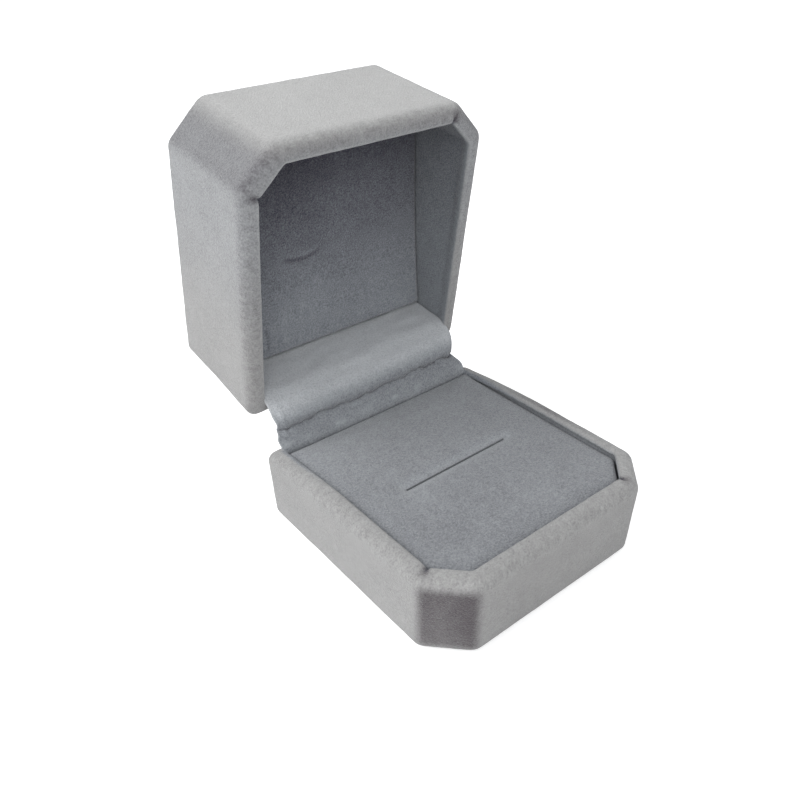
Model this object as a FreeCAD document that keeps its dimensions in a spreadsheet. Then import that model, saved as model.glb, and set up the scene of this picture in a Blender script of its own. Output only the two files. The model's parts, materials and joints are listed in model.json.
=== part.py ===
import FreeCAD, Part
import math
import os
import Sketcher

# Clamshell ring box: two velvet-covered trays with cut front corners, joined at the back by a
# sprung barrel hinge. Millimetres. The origin is the middle of the underside, +Z is up and the
# front faces -Y. The lid's pieces are drawn shut and their Placement swings them open.

PARTS = "parts"
os.makedirs(PARTS, exist_ok=True)
doc = FreeCAD.newDocument("ring_box")

SIZES = [
    ("case_width", 56.0, "outside width over the velvet"),
    ("case_depth", 56.0, "outside depth over the velvet"),
    ("corner_cut", 7.4, "leg of each cut front corner"),
    ("rear_round", 2.4, "plan radius of the rear corners"),
    ("cut_round", 1.8, "plan radius at each end of a cut corner"),
    ("base_height", 17.6, "underside to the crest of the base rim"),
    ("lid_height", 27.7, "crest of the lid rim to the lid top"),
    ("rim_gap", 0.3, "pile left between the two rims when shut"),
    ("velvet", 0.7, "thickness of the velvet"),
    ("wall", 1.6, "wall of both moulded shells"),
    ("floor", 1.6, "floor of the base shell and crown of the lid shell"),
    ("rim_round", 2.2, "outer radius of the velvet over a rim"),
    ("lip_bevel", 0.4, "inner bevel of the velvet over a rim"),
    ("foot_round", 1.3, "radius at the foot of the base"),
    ("rim_bevel", 1.0, "bevel round the rims of the shells"),
    ("back_bevel", 0.4, "bevel round the foot of the base shell and the crown of the lid shell"),
    ("top_round", 1.4, "radius round the lid top"),
    ("rear_sag", 1.6, "drop of the base rim at the back"),
    ("sag_length", 21.0, "length over which the base rim drops"),
    ("base_turn", 5.0, "velvet turned down inside the base rim"),
    ("lid_turn", 20.5, "velvet turned in past the lid rim"),
    ("under_turn", 6.0, "velvet turned under the base"),
    ("bottom_card", 0.6, "thickness of the card under the base"),
    ("card_inset", 2.0, "card edge in from the outline"),
    ("pad_recess", 1.1, "ring pad below the rim crest"),
    ("pad_fit", 0.15, "clearance round the ring pad"),
    ("pad_rear", 4.1, "rear edge of the ring pad in from the back"),
    ("pad_skirt", 4.0, "velvet turned down round the ring pad"),
    ("pad_board", 0.8, "board under the foam"),
    ("slit_length", 26.0, "length of the ring slit"),
    ("slit_width", 0.6, "width of the ring slit at rest"),
    ("slit_depth", 9.0, "depth of the ring slit"),
    ("slit_lip", 0.45, "radius of the velvet over the slit edges"),
    ("ceiling_front", 17.5, "depth of the lid ceiling at the front"),
    ("ceiling_rear", 9.8, "depth of the lid ceiling at the back"),
    ("ceiling_bow", 0.9, "rise of the ceiling at its middle"),
    ("ceiling_foam", 1.2, "padding under the ceiling velvet"),
    ("ceiling_card", 1.0, "card that carries the ceiling"),
    ("ceiling_fit", 0.15, "clearance round the ceiling card"),
    ("ceiling_stop", 4.45, "rear edge of the ceiling in from the back"),
    ("open_angle", 81.6, "travel of the lid in degrees"),
    ("pin_setback", 4.2, "hinge pin behind the rear walls"),
    ("pin_rise", 0.4, "hinge pin above the crest of the base rim"),
    ("pin_diameter", 1.4, "hinge pin"),
    ("pin_fit", 0.05, "radial clearance of the pin in its knuckles"),
    ("pin_head", 2.2, "diameter of the peened pin ends"),
    ("pin_head_length", 0.4, "length of each peened end"),
    ("pin_crown", 1.5, "diameter of the flat on each peened end"),
    ("leaf_sheet", 0.6, "sheet of the two hinge leaves"),
    ("leaf_bend", 0.35, "inside radius of the bends in the leaves"),
    ("leaf_corner", 1.5, "radius of the corners of the leaf plates"),
    ("hinge_width", 26.0, "width over the hinge leaves"),
    ("tab_width", 13.0, "width of the lid leaf's knuckle"),
    ("knuckle_gap", 0.3, "side clearance between knuckles"),
    ("base_leaf", 11.5, "height of the base leaf plate"),
    ("lid_leaf", 11.0, "height of the lid leaf plate"),
    ("tab_clear", 0.35, "gap between the two leaves when shut"),
    ("tooth_angle", 40.0, "arc of the stop tooth in degrees"),
    ("tooth_play", 1.5, "free play of the stop tooth in degrees"),
    ("tooth_length", 1.1, "reach of the stop tooth"),
    ("tooth_slack", 0.1, "side clearance of the stop tooth"),
    ("notch_depth", 2.3, "hinge notch below the rim crest"),
    ("notch_side", 0.5, "clearance beside the hinge in its notch"),
    ("spring_sheet", 0.3, "sheet of the snap spring"),
    ("spring_width", 20.0, "width of the snap spring's foot"),
    ("spring_height", 7.0, "height of the snap spring's foot"),
    ("spring_tongue", 8.0, "width of the snap spring's tongue"),
    ("spring_reach", 1.0, "tongue past the pin"),
    ("spring_play", 0.08, "gap from the tongue to the knuckle"),
    ("snap_flat", 0.15, "depth of the flat coined in the lid knuckle"),
    ("rivet_pitch", 15.0, "distance between the two rivets of a leaf"),
    ("rivet_shank", 1.6, "diameter of the rivet shanks"),
    ("rivet_head", 2.6, "diameter of the rivet heads"),
    ("rivet_flush", 0.5, "thickness of the head sunk in the shell"),
    ("rivet_dome", 0.35, "height of the head on the leaf"),
    ("rivet_crown", 1.8, "diameter of the flat on that head"),
    ("rivet_fit", 0.05, "radial clearance round a rivet"),
    ("rivet_below", 8.6, "base rivets below the rim crest"),
    ("rivet_above", 6.4, "lid rivets above the rim crest"),
    ("flap_sheet", 0.7, "thickness of the hinge flap"),
    ("flap_side", 0.4, "clearance between the flap and the velvet beside it"),
    ("flap_waist", 2.2, "depth of the curve in each side of the flap"),
    ("flap_tuck", 4.6, "flap tucked behind the ring pad"),
    ("flap_fit", 0.2, "clearance between the flap and the lid rivets"),
    ("flap_bend", 7.8, "radius of the flap's curve over the hinge, lid open"),
    ("flap_reach", 12.1, "flap past the lid rim"),
]

sheet = doc.addObject("Spreadsheet::Sheet", "Sizes")
for row, (alias, amount, meaning) in enumerate(SIZES, start=1):
    sheet.set("A%d" % row, meaning)
    sheet.set("B%d" % row, str(amount))
    sheet.setAlias("B%d" % row, alias)
doc.recompute()


class Size:
    """A length or angle: the spreadsheet formula that gives it, and its present value."""

    def __init__(self, formula, value):
        self.formula = formula
        self.value = value

    @staticmethod
    def of(other):
        return other if isinstance(other, Size) else Size(repr(float(other)), float(other))

    def join(self, sign, other, value):
        return Size("(%s %s %s)" % (self.formula, sign, other.formula), value)

    def __add__(self, other):
        other = Size.of(other)
        return self.join("+", other, self.value + other.value)

    def __sub__(self, other):
        other = Size.of(other)
        return self.join("-", other, self.value - other.value)

    def __mul__(self, other):
        other = Size.of(other)
        return self.join("*", other, self.value * other.value)

    def __truediv__(self, other):
        other = Size.of(other)
        return self.join("/", other, self.value / other.value)

    def __radd__(self, other):
        return Size.of(other) + self

    def __rsub__(self, other):
        return Size.of(other) - self

    def __rmul__(self, other):
        return Size.of(other) * self

    def __neg__(self):
        return Size.of(0) - self


S = {alias: Size("Sizes." + alias, amount) for alias, amount, meaning in SIZES}
ZERO = Size.of(0)
# Cutters run this far past the surfaces they cut.
OVER = 1.0
# A 45 degree corner cut shortens by this share of the inset when its outline is drawn inwards.
CUT_SHARE = 2 - math.sqrt(2)


def sine(angle):
    return Size("sin(%s)" % angle.formula, math.sin(math.radians(angle.value)))


def cosine(angle):
    return Size("cos(%s)" % angle.formula, math.cos(math.radians(angle.value)))


def root(size):
    return Size("sqrt(%s)" % size.formula, math.sqrt(size.value))


# ---------------------------------------------------------------- places shared by the pieces

half_width = S["case_width"] / 2
rear = S["case_depth"] / 2
front = -rear
crest = S["base_height"]
lid_crest = crest + S["rim_gap"]
lid_top = lid_crest + S["lid_height"]
velvet_under = S["bottom_card"]
shell_under = velvet_under + S["velvet"]
base_floor = shell_under + S["floor"]
shell_inner = S["velvet"] + S["wall"]
cavity_inner = shell_inner + S["velvet"]
pin_y = rear + S["pin_setback"]
pin_z = crest + S["pin_rise"]
pin_radius = S["pin_diameter"] / 2
knuckle_bore = pin_radius + S["pin_fit"]
knuckle_outer = knuckle_bore + S["leaf_sheet"]
neck_z = pin_z - knuckle_outer
leaf_y = rear - shell_inner
leaf_face = leaf_y - S["leaf_sheet"]
spring_face = leaf_face - S["spring_sheet"]
pad_top = crest - S["pad_recess"]


# ---------------------------------------------------------------- drawing helpers

def make_body(name):
    body = doc.addObject("PartDesign::Body", name)
    body.Label = name
    return body


def origin_plane(body, role):
    for feature in body.Origin.OriginFeatures:
        if feature.Role == role:
            return feature
    raise ValueError(role)


def new_sketch(body, name, role, offset=ZERO):
    """A sketch on one of the body's origin planes, moved along the plane's normal."""
    sketch = body.newObject("Sketcher::SketchObject", name)
    sketch.AttachmentSupport = [(origin_plane(body, role), "")]
    sketch.MapMode = "FlatFace"
    sketch.setExpression("AttachmentOffset.Base.z", offset.formula)
    sketch.AttachmentOffset.Base = FreeCAD.Vector(0, 0, offset.value)
    return sketch


def pin_point(sketch, geometry, end, point):
    """Hold one point of a sketch at its two coordinates."""
    for kind, size in zip(("DistanceX", "DistanceY"), point):
        size = Size.of(size)
        index = sketch.addConstraint(Sketcher.Constraint(kind, -1, 1, geometry, end, size.value))
        sketch.setExpression("Constraints[%d]" % index, size.formula)


def vector2(point):
    return FreeCAD.Vector(Size.of(point[0]).value, Size.of(point[1]).value, 0)


def draw_polygon(sketch, points):
    """A closed outline of straight lines through the points."""
    first = sketch.GeometryCount
    count = len(points)
    for place in range(count):
        ends = vector2(points[place]), vector2(points[(place + 1) % count])
        sketch.addGeometry(Part.LineSegment(*ends), False)
    for place in range(count):
        after = first + (place + 1) % count
        sketch.addConstraint(Sketcher.Constraint("Coincident", first + place, 2, after, 1))
        pin_point(sketch, first + place, 1, points[place])


def draw_rectangle(sketch, low, high):
    draw_polygon(sketch, [low, (high[0], low[1]), high, (low[0], high[1])])


def draw_circle(sketch, centre, radius):
    circle = Part.Circle(vector2(centre), FreeCAD.Vector(0, 0, 1), radius.value)
    index = sketch.addGeometry(circle, False)
    pin_point(sketch, index, 3, centre)
    held = sketch.addConstraint(Sketcher.Constraint("Radius", index, radius.value))
    sketch.setExpression("Constraints[%d]" % held, radius.formula)


def draw_bulge(sketch, start, end, rise, corners):
    """An outline with one arc, which runs anticlockwise from start to end, and straight sides."""
    run = end[0] - start[0]
    fall = end[1] - start[1]
    chord = root(run * run + fall * fall)
    radius = chord * chord / (8 * rise) + rise / 2
    a, b = vector2(start), vector2(end)
    inwards = FreeCAD.Vector(a.y - b.y, b.x - a.x, 0).normalize()
    centre = (a + b) / 2 + inwards * (radius.value - rise.value)
    circle = Part.Circle(centre, FreeCAD.Vector(0, 0, 1), radius.value)
    angles = [math.atan2(point.y - centre.y, point.x - centre.x) for point in (a, b)]
    arc = sketch.addGeometry(Part.ArcOfCircle(circle, *angles), False)
    pin_point(sketch, arc, 1, start)
    pin_point(sketch, arc, 2, end)
    held = sketch.addConstraint(Sketcher.Constraint("Radius", arc, radius.value))
    sketch.setExpression("Constraints[%d]" % held, radius.formula)
    route = [end] + corners + [start]
    before = arc
    for place in range(len(route) - 1):
        line = Part.LineSegment(vector2(route[place]), vector2(route[place + 1]))
        index = sketch.addGeometry(line, False)
        sketch.addConstraint(Sketcher.Constraint("Coincident", before, 2, index, 1))
        if place < len(route) - 2:
            pin_point(sketch, index, 2, route[place + 1])
        before = index
    sketch.addConstraint(Sketcher.Constraint("Coincident", before, 2, arc, 1))


def add_feature(body, kind, name, sketch, length=None, reverse=False, both=False):
    """A Pad or Pocket of a sketch by a length, or through everything where none is given."""
    feature = body.newObject("PartDesign::" + kind, name)
    feature.Profile = (sketch, [""])
    feature.Midplane = both
    feature.Reversed = reverse
    if length is None:
        feature.Type = 1
    else:
        feature.setExpression("Length", length.formula)
        feature.Length = length.value
    return feature


def turn_feature(body, kind, name, sketch, axis, angle=None, angle2=None):
    """A Revolution or Groove of a sketch about one of its own axes."""
    feature = body.newObject("PartDesign::" + kind, name)
    feature.Profile = (sketch, [""])
    feature.ReferenceAxis = (sketch, [axis])
    if angle is None:
        feature.Angle = 360
    else:
        feature.Type = "TwoAngles"
        feature.setExpression("Angle", angle.formula)
        feature.setExpression("Angle2", angle2.formula)
    return feature


def mirror_across(body, features, name):
    """Repeat features on the other side of the box's middle plane."""
    feature = body.newObject("PartDesign::Mirrored", name)
    feature.Originals = features
    feature.MirrorPlane = (origin_plane(body, "YZ_Plane"), [""])
    body.Tip = feature
    return feature


def dress_edges(body, kind, name, size, wanted):
    """Fillet or Chamfer the edges of the body's tip for which wanted(edge) holds."""
    doc.recompute()
    base = body.Tip
    names = ["Edge%d" % (place + 1) for place, edge in enumerate(base.Shape.Edges) if wanted(edge)]
    if not names:
        raise ValueError("no edge to dress in " + name)
    feature = body.newObject("PartDesign::" + kind, name)
    feature.Base = (base, names)
    driven = "Radius" if kind == "Fillet" else "Size"
    feature.setExpression(driven, size.formula)
    setattr(feature, driven, size.value)
    return feature


def round_edges(body, name, radius, wanted):
    return dress_edges(body, "Fillet", name, radius, wanted)


def bevel_edges(body, name, size, wanted):
    return dress_edges(body, "Chamfer", name, size, wanted)


def edge_ends(edge):
    return [vertex.Point for vertex in edge.Vertexes]


def is_upright(edge, where=None):
    """True for an edge that climbs, on the side of the box that where(point) picks."""
    ends = edge_ends(edge)
    if len(ends) < 2 or abs(ends[0].z - ends[1].z) < 0.5 * edge.Length:
        return False
    return where is None or where((ends[0] + ends[1]) / 2)


def lies_between(edge, low, high):
    box = edge.BoundBox
    return box.ZMin > low - 1e-4 and box.ZMax < high + 1e-4


def plan_outline(inset, rear_inset=None):
    """Corners of the box's plan, drawn in by an inset: a square with two cut front corners."""
    inset = Size.of(inset)
    side = half_width - inset
    back = rear - (inset if rear_inset is None else rear_inset)
    nose = front + inset
    cut = S["corner_cut"] - inset * CUT_SHARE
    return [(-side, back), (-side, nose + cut), (-side + cut, nose),
            (side - cut, nose), (side, nose + cut), (side, back)]


def pad_plan(body, name, z, height, inset, rear_inset=None):
    sketch = new_sketch(body, name + "_plan", "XY_Plane", z)
    draw_polygon(sketch, plan_outline(inset, rear_inset))
    return add_feature(body, "Pad", name, sketch, height)


def round_plan(body, name, inset):
    """Round the upright corners of a tray's plan, less at the cut corners than at the back."""
    smallest = 0.3
    for place, size, side in (("rear", "rear_round", 1), ("cut", "cut_round", -1)):
        radius = S[size] - inset
        if radius.value > smallest:
            round_edges(body, "%s_%s" % (name, place), radius,
                        lambda edge, side=side: is_upright(edge, lambda point: side * point.y > 0))


def tray_block(body, upwards, back, mouth, inset, sag):
    """The block of a tray, from its closed back to its open mouth, with its plan corners rounded."""
    height = (mouth - back) if upwards else (back - mouth)
    sketch = new_sketch(body, body.Name + "_plan", "XY_Plane", mouth)
    draw_polygon(sketch, plan_outline(inset))
    add_feature(body, "Pad", body.Name + "_block", sketch, height, reverse=upwards)
    round_plan(body, body.Name, inset)
    if sag:
        sag_rim(body, mouth)


def dress_tray(body, dress, mouth, mouth_size, back, back_size, sag):
    """Round or bevel the outer edges of a tray block at its mouth and at its back."""
    low_mouth = mouth.value - (S["rear_sag"].value if sag else 0)
    dress(body, body.Name + "_mouth", mouth_size, lambda edge: lies_between(edge, low_mouth, mouth.value))
    dress(body, body.Name + "_back", back_size, lambda edge: lies_between(edge, back.value, back.value))


def sag_rim(body, mouth):
    """Let the rim fall towards the back."""
    sketch = new_sketch(body, body.Name + "_sag_side", "YZ_Plane")
    start = rear - S["sag_length"]
    over = mouth + OVER
    low = mouth - S["rear_sag"]
    behind = rear + OVER
    draw_polygon(sketch, [(start, mouth), (rear, low), (behind, low), (behind, over), (start, over)])
    add_feature(body, "Pocket", body.Name + "_sag", sketch, both=True)


def hollow(body, name, upwards, mouth, depth, inset):
    """Sink the tray's cavity, or a step of it, from its mouth."""
    sketch = new_sketch(body, name + "_plan", "XY_Plane", mouth)
    draw_polygon(sketch, plan_outline(inset))
    return add_feature(body, "Pocket", name, sketch, depth, reverse=not upwards)


def cut_box(body, name, x_half, y_low, y_high, z_low, z_high):
    """Cut a box that is centred on the middle plane."""
    sketch = new_sketch(body, name + "_side", "YZ_Plane")
    draw_rectangle(sketch, (y_low, z_low), (y_high, z_high))
    return add_feature(body, "Pocket", name, sketch, x_half * 2, both=True)


def inside_plan(point, inset):
    """True where a point lies within the plan drawn in by an inset."""
    slack = 0.02
    side = half_width.value - inset.value + slack
    nose = front.value + inset.value - slack
    back = rear.value - inset.value + slack
    corner = side - nose - (S["corner_cut"] - inset * CUT_SHARE).value
    return abs(point.x) <= side and nose <= point.y <= back and abs(point.x) - point.y <= corner


def bevel_lip(body, mouth, sag, inset):
    """Bevel the edges round the mouth of the cavity."""
    low = mouth.value - (S["rear_sag"].value if sag else 0)

    def wanted(edge):
        held = lies_between(edge, low, mouth.value)
        return held and all(inside_plan(point, inset) for point in edge_ends(edge))

    bevel_edges(body, body.Name + "_lip", S["lip_bevel"], wanted)


def rivet_section(body, name, outside, leaf_side, height, play, kind):
    """Turn a rivet, or with some play its hole, and repeat it on the other side."""
    sketch = new_sketch(body, name + "_section", "YZ_Plane")
    sketch.setExpression("AttachmentOffset.Base.z", (S["rivet_pitch"] / 2).formula)
    sketch.setExpression("AttachmentOffset.Base.y", height.formula)
    sketch.AttachmentOffset.Base = FreeCAD.Vector(0, height.value, S["rivet_pitch"].value / 2)
    head = S["rivet_head"] / 2 + play
    shank = S["rivet_shank"] / 2 + play
    seat = rear - S["velvet"] - S["rivet_flush"]
    inner = leaf_side - S["rivet_dome"]
    if kind == "Groove":
        far = inner - OVER
        points = [(far, 0), (far, shank), (seat - play, shank),
                  (seat - play, head), (outside, head), (outside, 0)]
    else:
        points = [(inner, 0), (inner, S["rivet_crown"] / 2), (leaf_side, head), (leaf_side, shank),
                  (seat, shank), (seat, head), (outside, head), (outside, 0)]
    draw_polygon(sketch, points)
    turned = turn_feature(body, kind, name, sketch, "H_Axis")
    doc.recompute()
    return mirror_across(body, [turned], name + "_pair")


# ---------------------------------------------------------------- base

base_outside = rear - S["velvet"]
base_rivet_z = crest - S["rivet_below"]
lid_rivet_z = lid_crest + S["rivet_above"]
notch_half = S["hinge_width"] / 2 + S["notch_side"]

base_shell = make_body("base_shell")
base_shell_rim = crest - S["velvet"]
tray_block(base_shell, True, shell_under, base_shell_rim, S["velvet"], True)
dress_tray(base_shell, bevel_edges, base_shell_rim, S["rim_bevel"], shell_under, S["back_bevel"], True)
hollow(base_shell, "shell_cavity", True, crest, crest - base_floor, shell_inner)
cut_box(base_shell, "shell_notch", notch_half + S["velvet"], leaf_face - OVER, rear + OVER,
        crest - S["notch_depth"] - S["velvet"], crest + OVER)
doc.recompute()
rivet_section(base_shell, "shell_rivet_hole", rear + OVER, leaf_y, base_rivet_z, S["rivet_fit"], "Groove")

base_form = make_body("base_form")
tray_block(base_form, True, velvet_under, crest, ZERO, True)
dress_tray(base_form, round_edges, crest, S["rim_round"], velvet_under, S["foot_round"], True)
hollow(base_form, "form_mouth", True, crest, crest - shell_under, cavity_inner)
bevel_lip(base_form, crest, True, cavity_inner)
turn_low = crest - S["base_turn"]
hollow(base_form, "form_cavity", True, turn_low, turn_low - shell_under, shell_inner)
hollow(base_form, "form_under", True, shell_under, S["velvet"] + OVER, cavity_inner + S["under_turn"])
notch_low = crest - S["notch_depth"]
cut_box(base_form, "form_notch", notch_half, leaf_face - OVER, rear + OVER, notch_low, crest + OVER)
cut_box(base_form, "form_window", notch_half, leaf_face - OVER, leaf_y, turn_low, crest + OVER)
doc.recompute()
rivet_section(base_form, "form_rivet_hole", base_outside, leaf_y, base_rivet_z, S["rivet_fit"], "Groove")


def cut_object(label, base, tool):
    cut = doc.addObject("Part::Cut", label)
    cut.Base = base
    cut.Tool = tool
    cut.Label = label
    return cut


base_velvet = cut_object("base_velvet", base_form, base_shell)

bottom_card = make_body("bottom_card")
pad_plan(bottom_card, "card_plate", ZERO, S["bottom_card"], S["card_inset"])
round_edges(bottom_card, "card_corners", S["rear_round"] - S["bottom_card"], is_upright)

pad_board = make_body("pad_board")
pad_plan(pad_board, "board_plate", base_floor, S["pad_board"], cavity_inner + S["pad_fit"],
         S["pad_rear"] + S["velvet"])

# ---------------------------------------------------------------- ring pad

pad_edge = cavity_inner + S["pad_fit"]
foam_edge = pad_edge + S["velvet"]
foam_bottom = base_floor + S["pad_board"]
foam_top = pad_top - S["velvet"]
tuck_half = S["slit_width"] / 2 + S["velvet"]
tuck_length = S["slit_length"] / 2 + S["velvet"]

ring_pad_foam = make_body("ring_pad_foam")
pad_plan(ring_pad_foam, "foam_block", foam_bottom, foam_top - foam_bottom, foam_edge,
         S["pad_rear"] + S["velvet"])
slot = new_sketch(ring_pad_foam, "foam_slot_plan", "XY_Plane", foam_top)
slot_clear = S["pad_fit"]
draw_rectangle(slot, (-tuck_length - slot_clear, -tuck_half - slot_clear),
               (tuck_length + slot_clear, tuck_half + slot_clear))
add_feature(ring_pad_foam, "Pocket", "foam_slot", slot, S["slit_depth"] + slot_clear)

ring_pad_velvet = make_body("ring_pad_velvet")
pad_plan(ring_pad_velvet, "cover_block", pad_top - S["pad_skirt"], S["pad_skirt"], pad_edge, S["pad_rear"])
round_edges(ring_pad_velvet, "cover_edge", S["slit_lip"],
            lambda edge: lies_between(edge, pad_top.value, pad_top.value))
inner_plan = new_sketch(ring_pad_velvet, "cover_inside_plan", "XY_Plane", foam_top)
draw_polygon(inner_plan, plan_outline(foam_edge, S["pad_rear"] + S["velvet"]))
add_feature(ring_pad_velvet, "Pocket", "cover_inside", inner_plan, S["pad_skirt"])
tuck = new_sketch(ring_pad_velvet, "tuck_plan", "XY_Plane", foam_top)
draw_rectangle(tuck, (-tuck_length, -tuck_half), (tuck_length, tuck_half))
add_feature(ring_pad_velvet, "Pad", "tuck", tuck, S["slit_depth"], reverse=True)
slit = new_sketch(ring_pad_velvet, "slit_plan", "XY_Plane", pad_top)
slit_half = S["slit_length"] / 2
draw_rectangle(slit, (-slit_half, -S["slit_width"] / 2), (slit_half, S["slit_width"] / 2))
add_feature(ring_pad_velvet, "Pocket", "slit", slit, S["slit_depth"])
round_edges(ring_pad_velvet, "slit_lips", S["slit_lip"],
            lambda edge: lies_between(edge, pad_top.value, pad_top.value)
            and all(abs(point.y) < tuck_half.value and abs(point.x) < tuck_length.value
                    for point in edge_ends(edge)))

# ---------------------------------------------------------------- hinge

def round_cross_edge(body, name, y, z, radius):
    """Round the edge that runs from side to side at one place in the side view."""
    def wanted(edge):
        box = edge.BoundBox
        near = abs(box.Center.y - y.value) < 0.01 and abs(box.Center.z - z.value) < 0.01
        return near and box.YLength + box.ZLength < 0.01

    round_edges(body, name, radius, wanted)


def leaf_profile(body, name, face, plate_end, bottom):
    """The bent sheet of a leaf seen from its side: plate, bend and neck out to the pin."""
    sketch = new_sketch(body, name + "_side", "YZ_Plane")
    sheet_size = S["leaf_sheet"]
    top = bottom + sheet_size
    upright = plate_end.value > top.value
    inner, outer = (top, bottom) if upright else (bottom, top)
    draw_polygon(sketch, [(face, outer), (pin_y, outer), (pin_y, inner),
                          (face + sheet_size, inner), (face + sheet_size, plate_end), (face, plate_end)])
    blank = add_feature(body, "Pad", name, sketch, S["hinge_width"], both=True)
    round_cross_edge(body, name + "_bend", face, outer, S["leaf_bend"] + sheet_size)
    round_cross_edge(body, name + "_inside_bend", face + sheet_size, inner, S["leaf_bend"])
    corner_z = plate_end.value
    round_edges(body, name + "_corners", S["leaf_corner"],
                lambda edge: lies_between(edge, corner_z, corner_z) and edge.BoundBox.XLength < 0.01)
    return blank


def knuckle_ring(body, name):
    sketch = new_sketch(body, name + "_side", "YZ_Plane")
    draw_circle(sketch, (pin_y, pin_z), knuckle_outer)
    draw_circle(sketch, (pin_y, pin_z), knuckle_bore)
    return add_feature(body, "Pad", name, sketch, S["hinge_width"], both=True)


def tooth_sector(body, kind, name, x_low, x_high, r_low, r_high, ahead, behind):
    """Turn a block of the stop about the pin, from straight below it, through two angles."""
    sketch = new_sketch(body, name + "_face", "XZ_Plane")
    sketch.setExpression("AttachmentOffset.Base.z", (-pin_y).formula)
    sketch.setExpression("AttachmentOffset.Base.y", pin_z.formula)
    sketch.AttachmentOffset.Base = FreeCAD.Vector(0, pin_z.value, -pin_y.value)
    draw_rectangle(sketch, (x_low, -r_high), (x_high, -r_low))
    turned = turn_feature(body, kind, name, sketch, "H_Axis", ahead, behind)
    doc.recompute()
    return mirror_across(body, [turned], name + "_pair")


tab_half = S["tab_width"] / 2
half_tooth = S["tooth_angle"] / 2
hinge_half = S["hinge_width"] / 2

hinge_base_leaf = make_body("hinge_base_leaf")
leaf_profile(hinge_base_leaf, "base_leaf_sheet", leaf_face, neck_z - S["base_leaf"], neck_z)
knuckle_ring(hinge_base_leaf, "base_knuckle")
barrel_back = pin_y + knuckle_outer + OVER
cut_box(hinge_base_leaf, "base_tab_gap", tab_half + S["knuckle_gap"], leaf_face - OVER, barrel_back,
        neck_z - S["notch_depth"], pin_z + knuckle_outer + OVER)
doc.recompute()
tooth_sector(hinge_base_leaf, "Revolution", "stop_tooth", tab_half + S["knuckle_gap"] - S["tooth_length"],
             tab_half + S["knuckle_gap"] * 2, knuckle_bore, knuckle_outer, half_tooth, half_tooth)
rivet_section(hinge_base_leaf, "base_leaf_hole", rear + OVER, leaf_y, base_rivet_z, S["rivet_fit"], "Groove")

hinge_lid_leaf = make_body("hinge_lid_leaf")
leaf_profile(hinge_lid_leaf, "lid_leaf_sheet", leaf_face, lid_crest + S["lid_leaf"], neck_z)
knuckle_ring(hinge_lid_leaf, "lid_knuckle")
wide_z = neck_z + S["leaf_sheet"] + S["tab_clear"]
for name, inner_y, height in (("lid_tab", leaf_face - OVER, wide_z - neck_z + OVER),
                              ("barrel_ends", leaf_y + S["tab_clear"], knuckle_outer * 2 + OVER * 2)):
    sides = new_sketch(hinge_lid_leaf, name + "_plan", "XY_Plane", neck_z - OVER)
    for side in (-1, 1):
        draw_rectangle(sides, (side * tab_half, inner_y), (side * (hinge_half + OVER), barrel_back))
    add_feature(hinge_lid_leaf, "Pocket", name, sides, height, reverse=True)
doc.recompute()
play = S["tooth_play"]
slack = S["tooth_slack"]
tooth_sector(hinge_lid_leaf, "Groove", "stop_sector", tab_half + S["knuckle_gap"] - S["tooth_length"] - slack,
             tab_half + OVER, knuckle_bore - slack, knuckle_outer + slack,
             half_tooth + play + S["open_angle"], half_tooth + play)
flat_way = (sine(S["open_angle"]), -cosine(S["open_angle"]))
flat_side = (cosine(S["open_angle"]), sine(S["open_angle"]))
flat_near = knuckle_outer - S["snap_flat"]
flat_far = knuckle_outer + OVER
flat = new_sketch(hinge_lid_leaf, "snap_flat_side", "YZ_Plane")
flat_corners = [(flat_near, -OVER), (flat_near, OVER), (flat_far, OVER), (flat_far, -OVER)]
draw_polygon(flat, [(pin_y + flat_way[0] * reach + flat_side[0] * across,
                     pin_z + flat_way[1] * reach + flat_side[1] * across)
                    for reach, across in flat_corners])
add_feature(hinge_lid_leaf, "Pocket", "snap_flat_cut", flat, both=True)
doc.recompute()
rivet_section(hinge_lid_leaf, "lid_leaf_hole", rear + OVER, leaf_y, lid_rivet_z, S["rivet_fit"], "Groove")

hinge_snap_spring = make_body("hinge_snap_spring")
tongue_top = neck_z - S["spring_play"]
tongue_low = tongue_top - S["spring_sheet"]
foot_low = base_rivet_z - S["spring_height"] / 2
foot_high = base_rivet_z + S["spring_height"] / 2
tongue = new_sketch(hinge_snap_spring, "tongue_side", "YZ_Plane")
draw_polygon(tongue, [(spring_face, foot_low), (leaf_face, foot_low), (leaf_face, tongue_low),
                      (pin_y + S["spring_reach"], tongue_low), (pin_y + S["spring_reach"], tongue_top),
                      (spring_face, tongue_top)])
add_feature(hinge_snap_spring, "Pad", "tongue", tongue, S["spring_tongue"], both=True)
outside_bend = S["leaf_bend"] + S["spring_sheet"]
round_cross_edge(hinge_snap_spring, "tongue_bend", spring_face, tongue_top, outside_bend)
round_cross_edge(hinge_snap_spring, "tongue_inside_bend", leaf_face, tongue_low, S["leaf_bend"])
foot = new_sketch(hinge_snap_spring, "foot_side", "YZ_Plane")
draw_rectangle(foot, (spring_face, foot_low), (leaf_face, foot_high))
add_feature(hinge_snap_spring, "Pad", "foot", foot, S["spring_width"], both=True)
doc.recompute()
rivet_section(hinge_snap_spring, "spring_hole", rear + OVER, leaf_face, base_rivet_z,
              S["rivet_fit"], "Groove")

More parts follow.
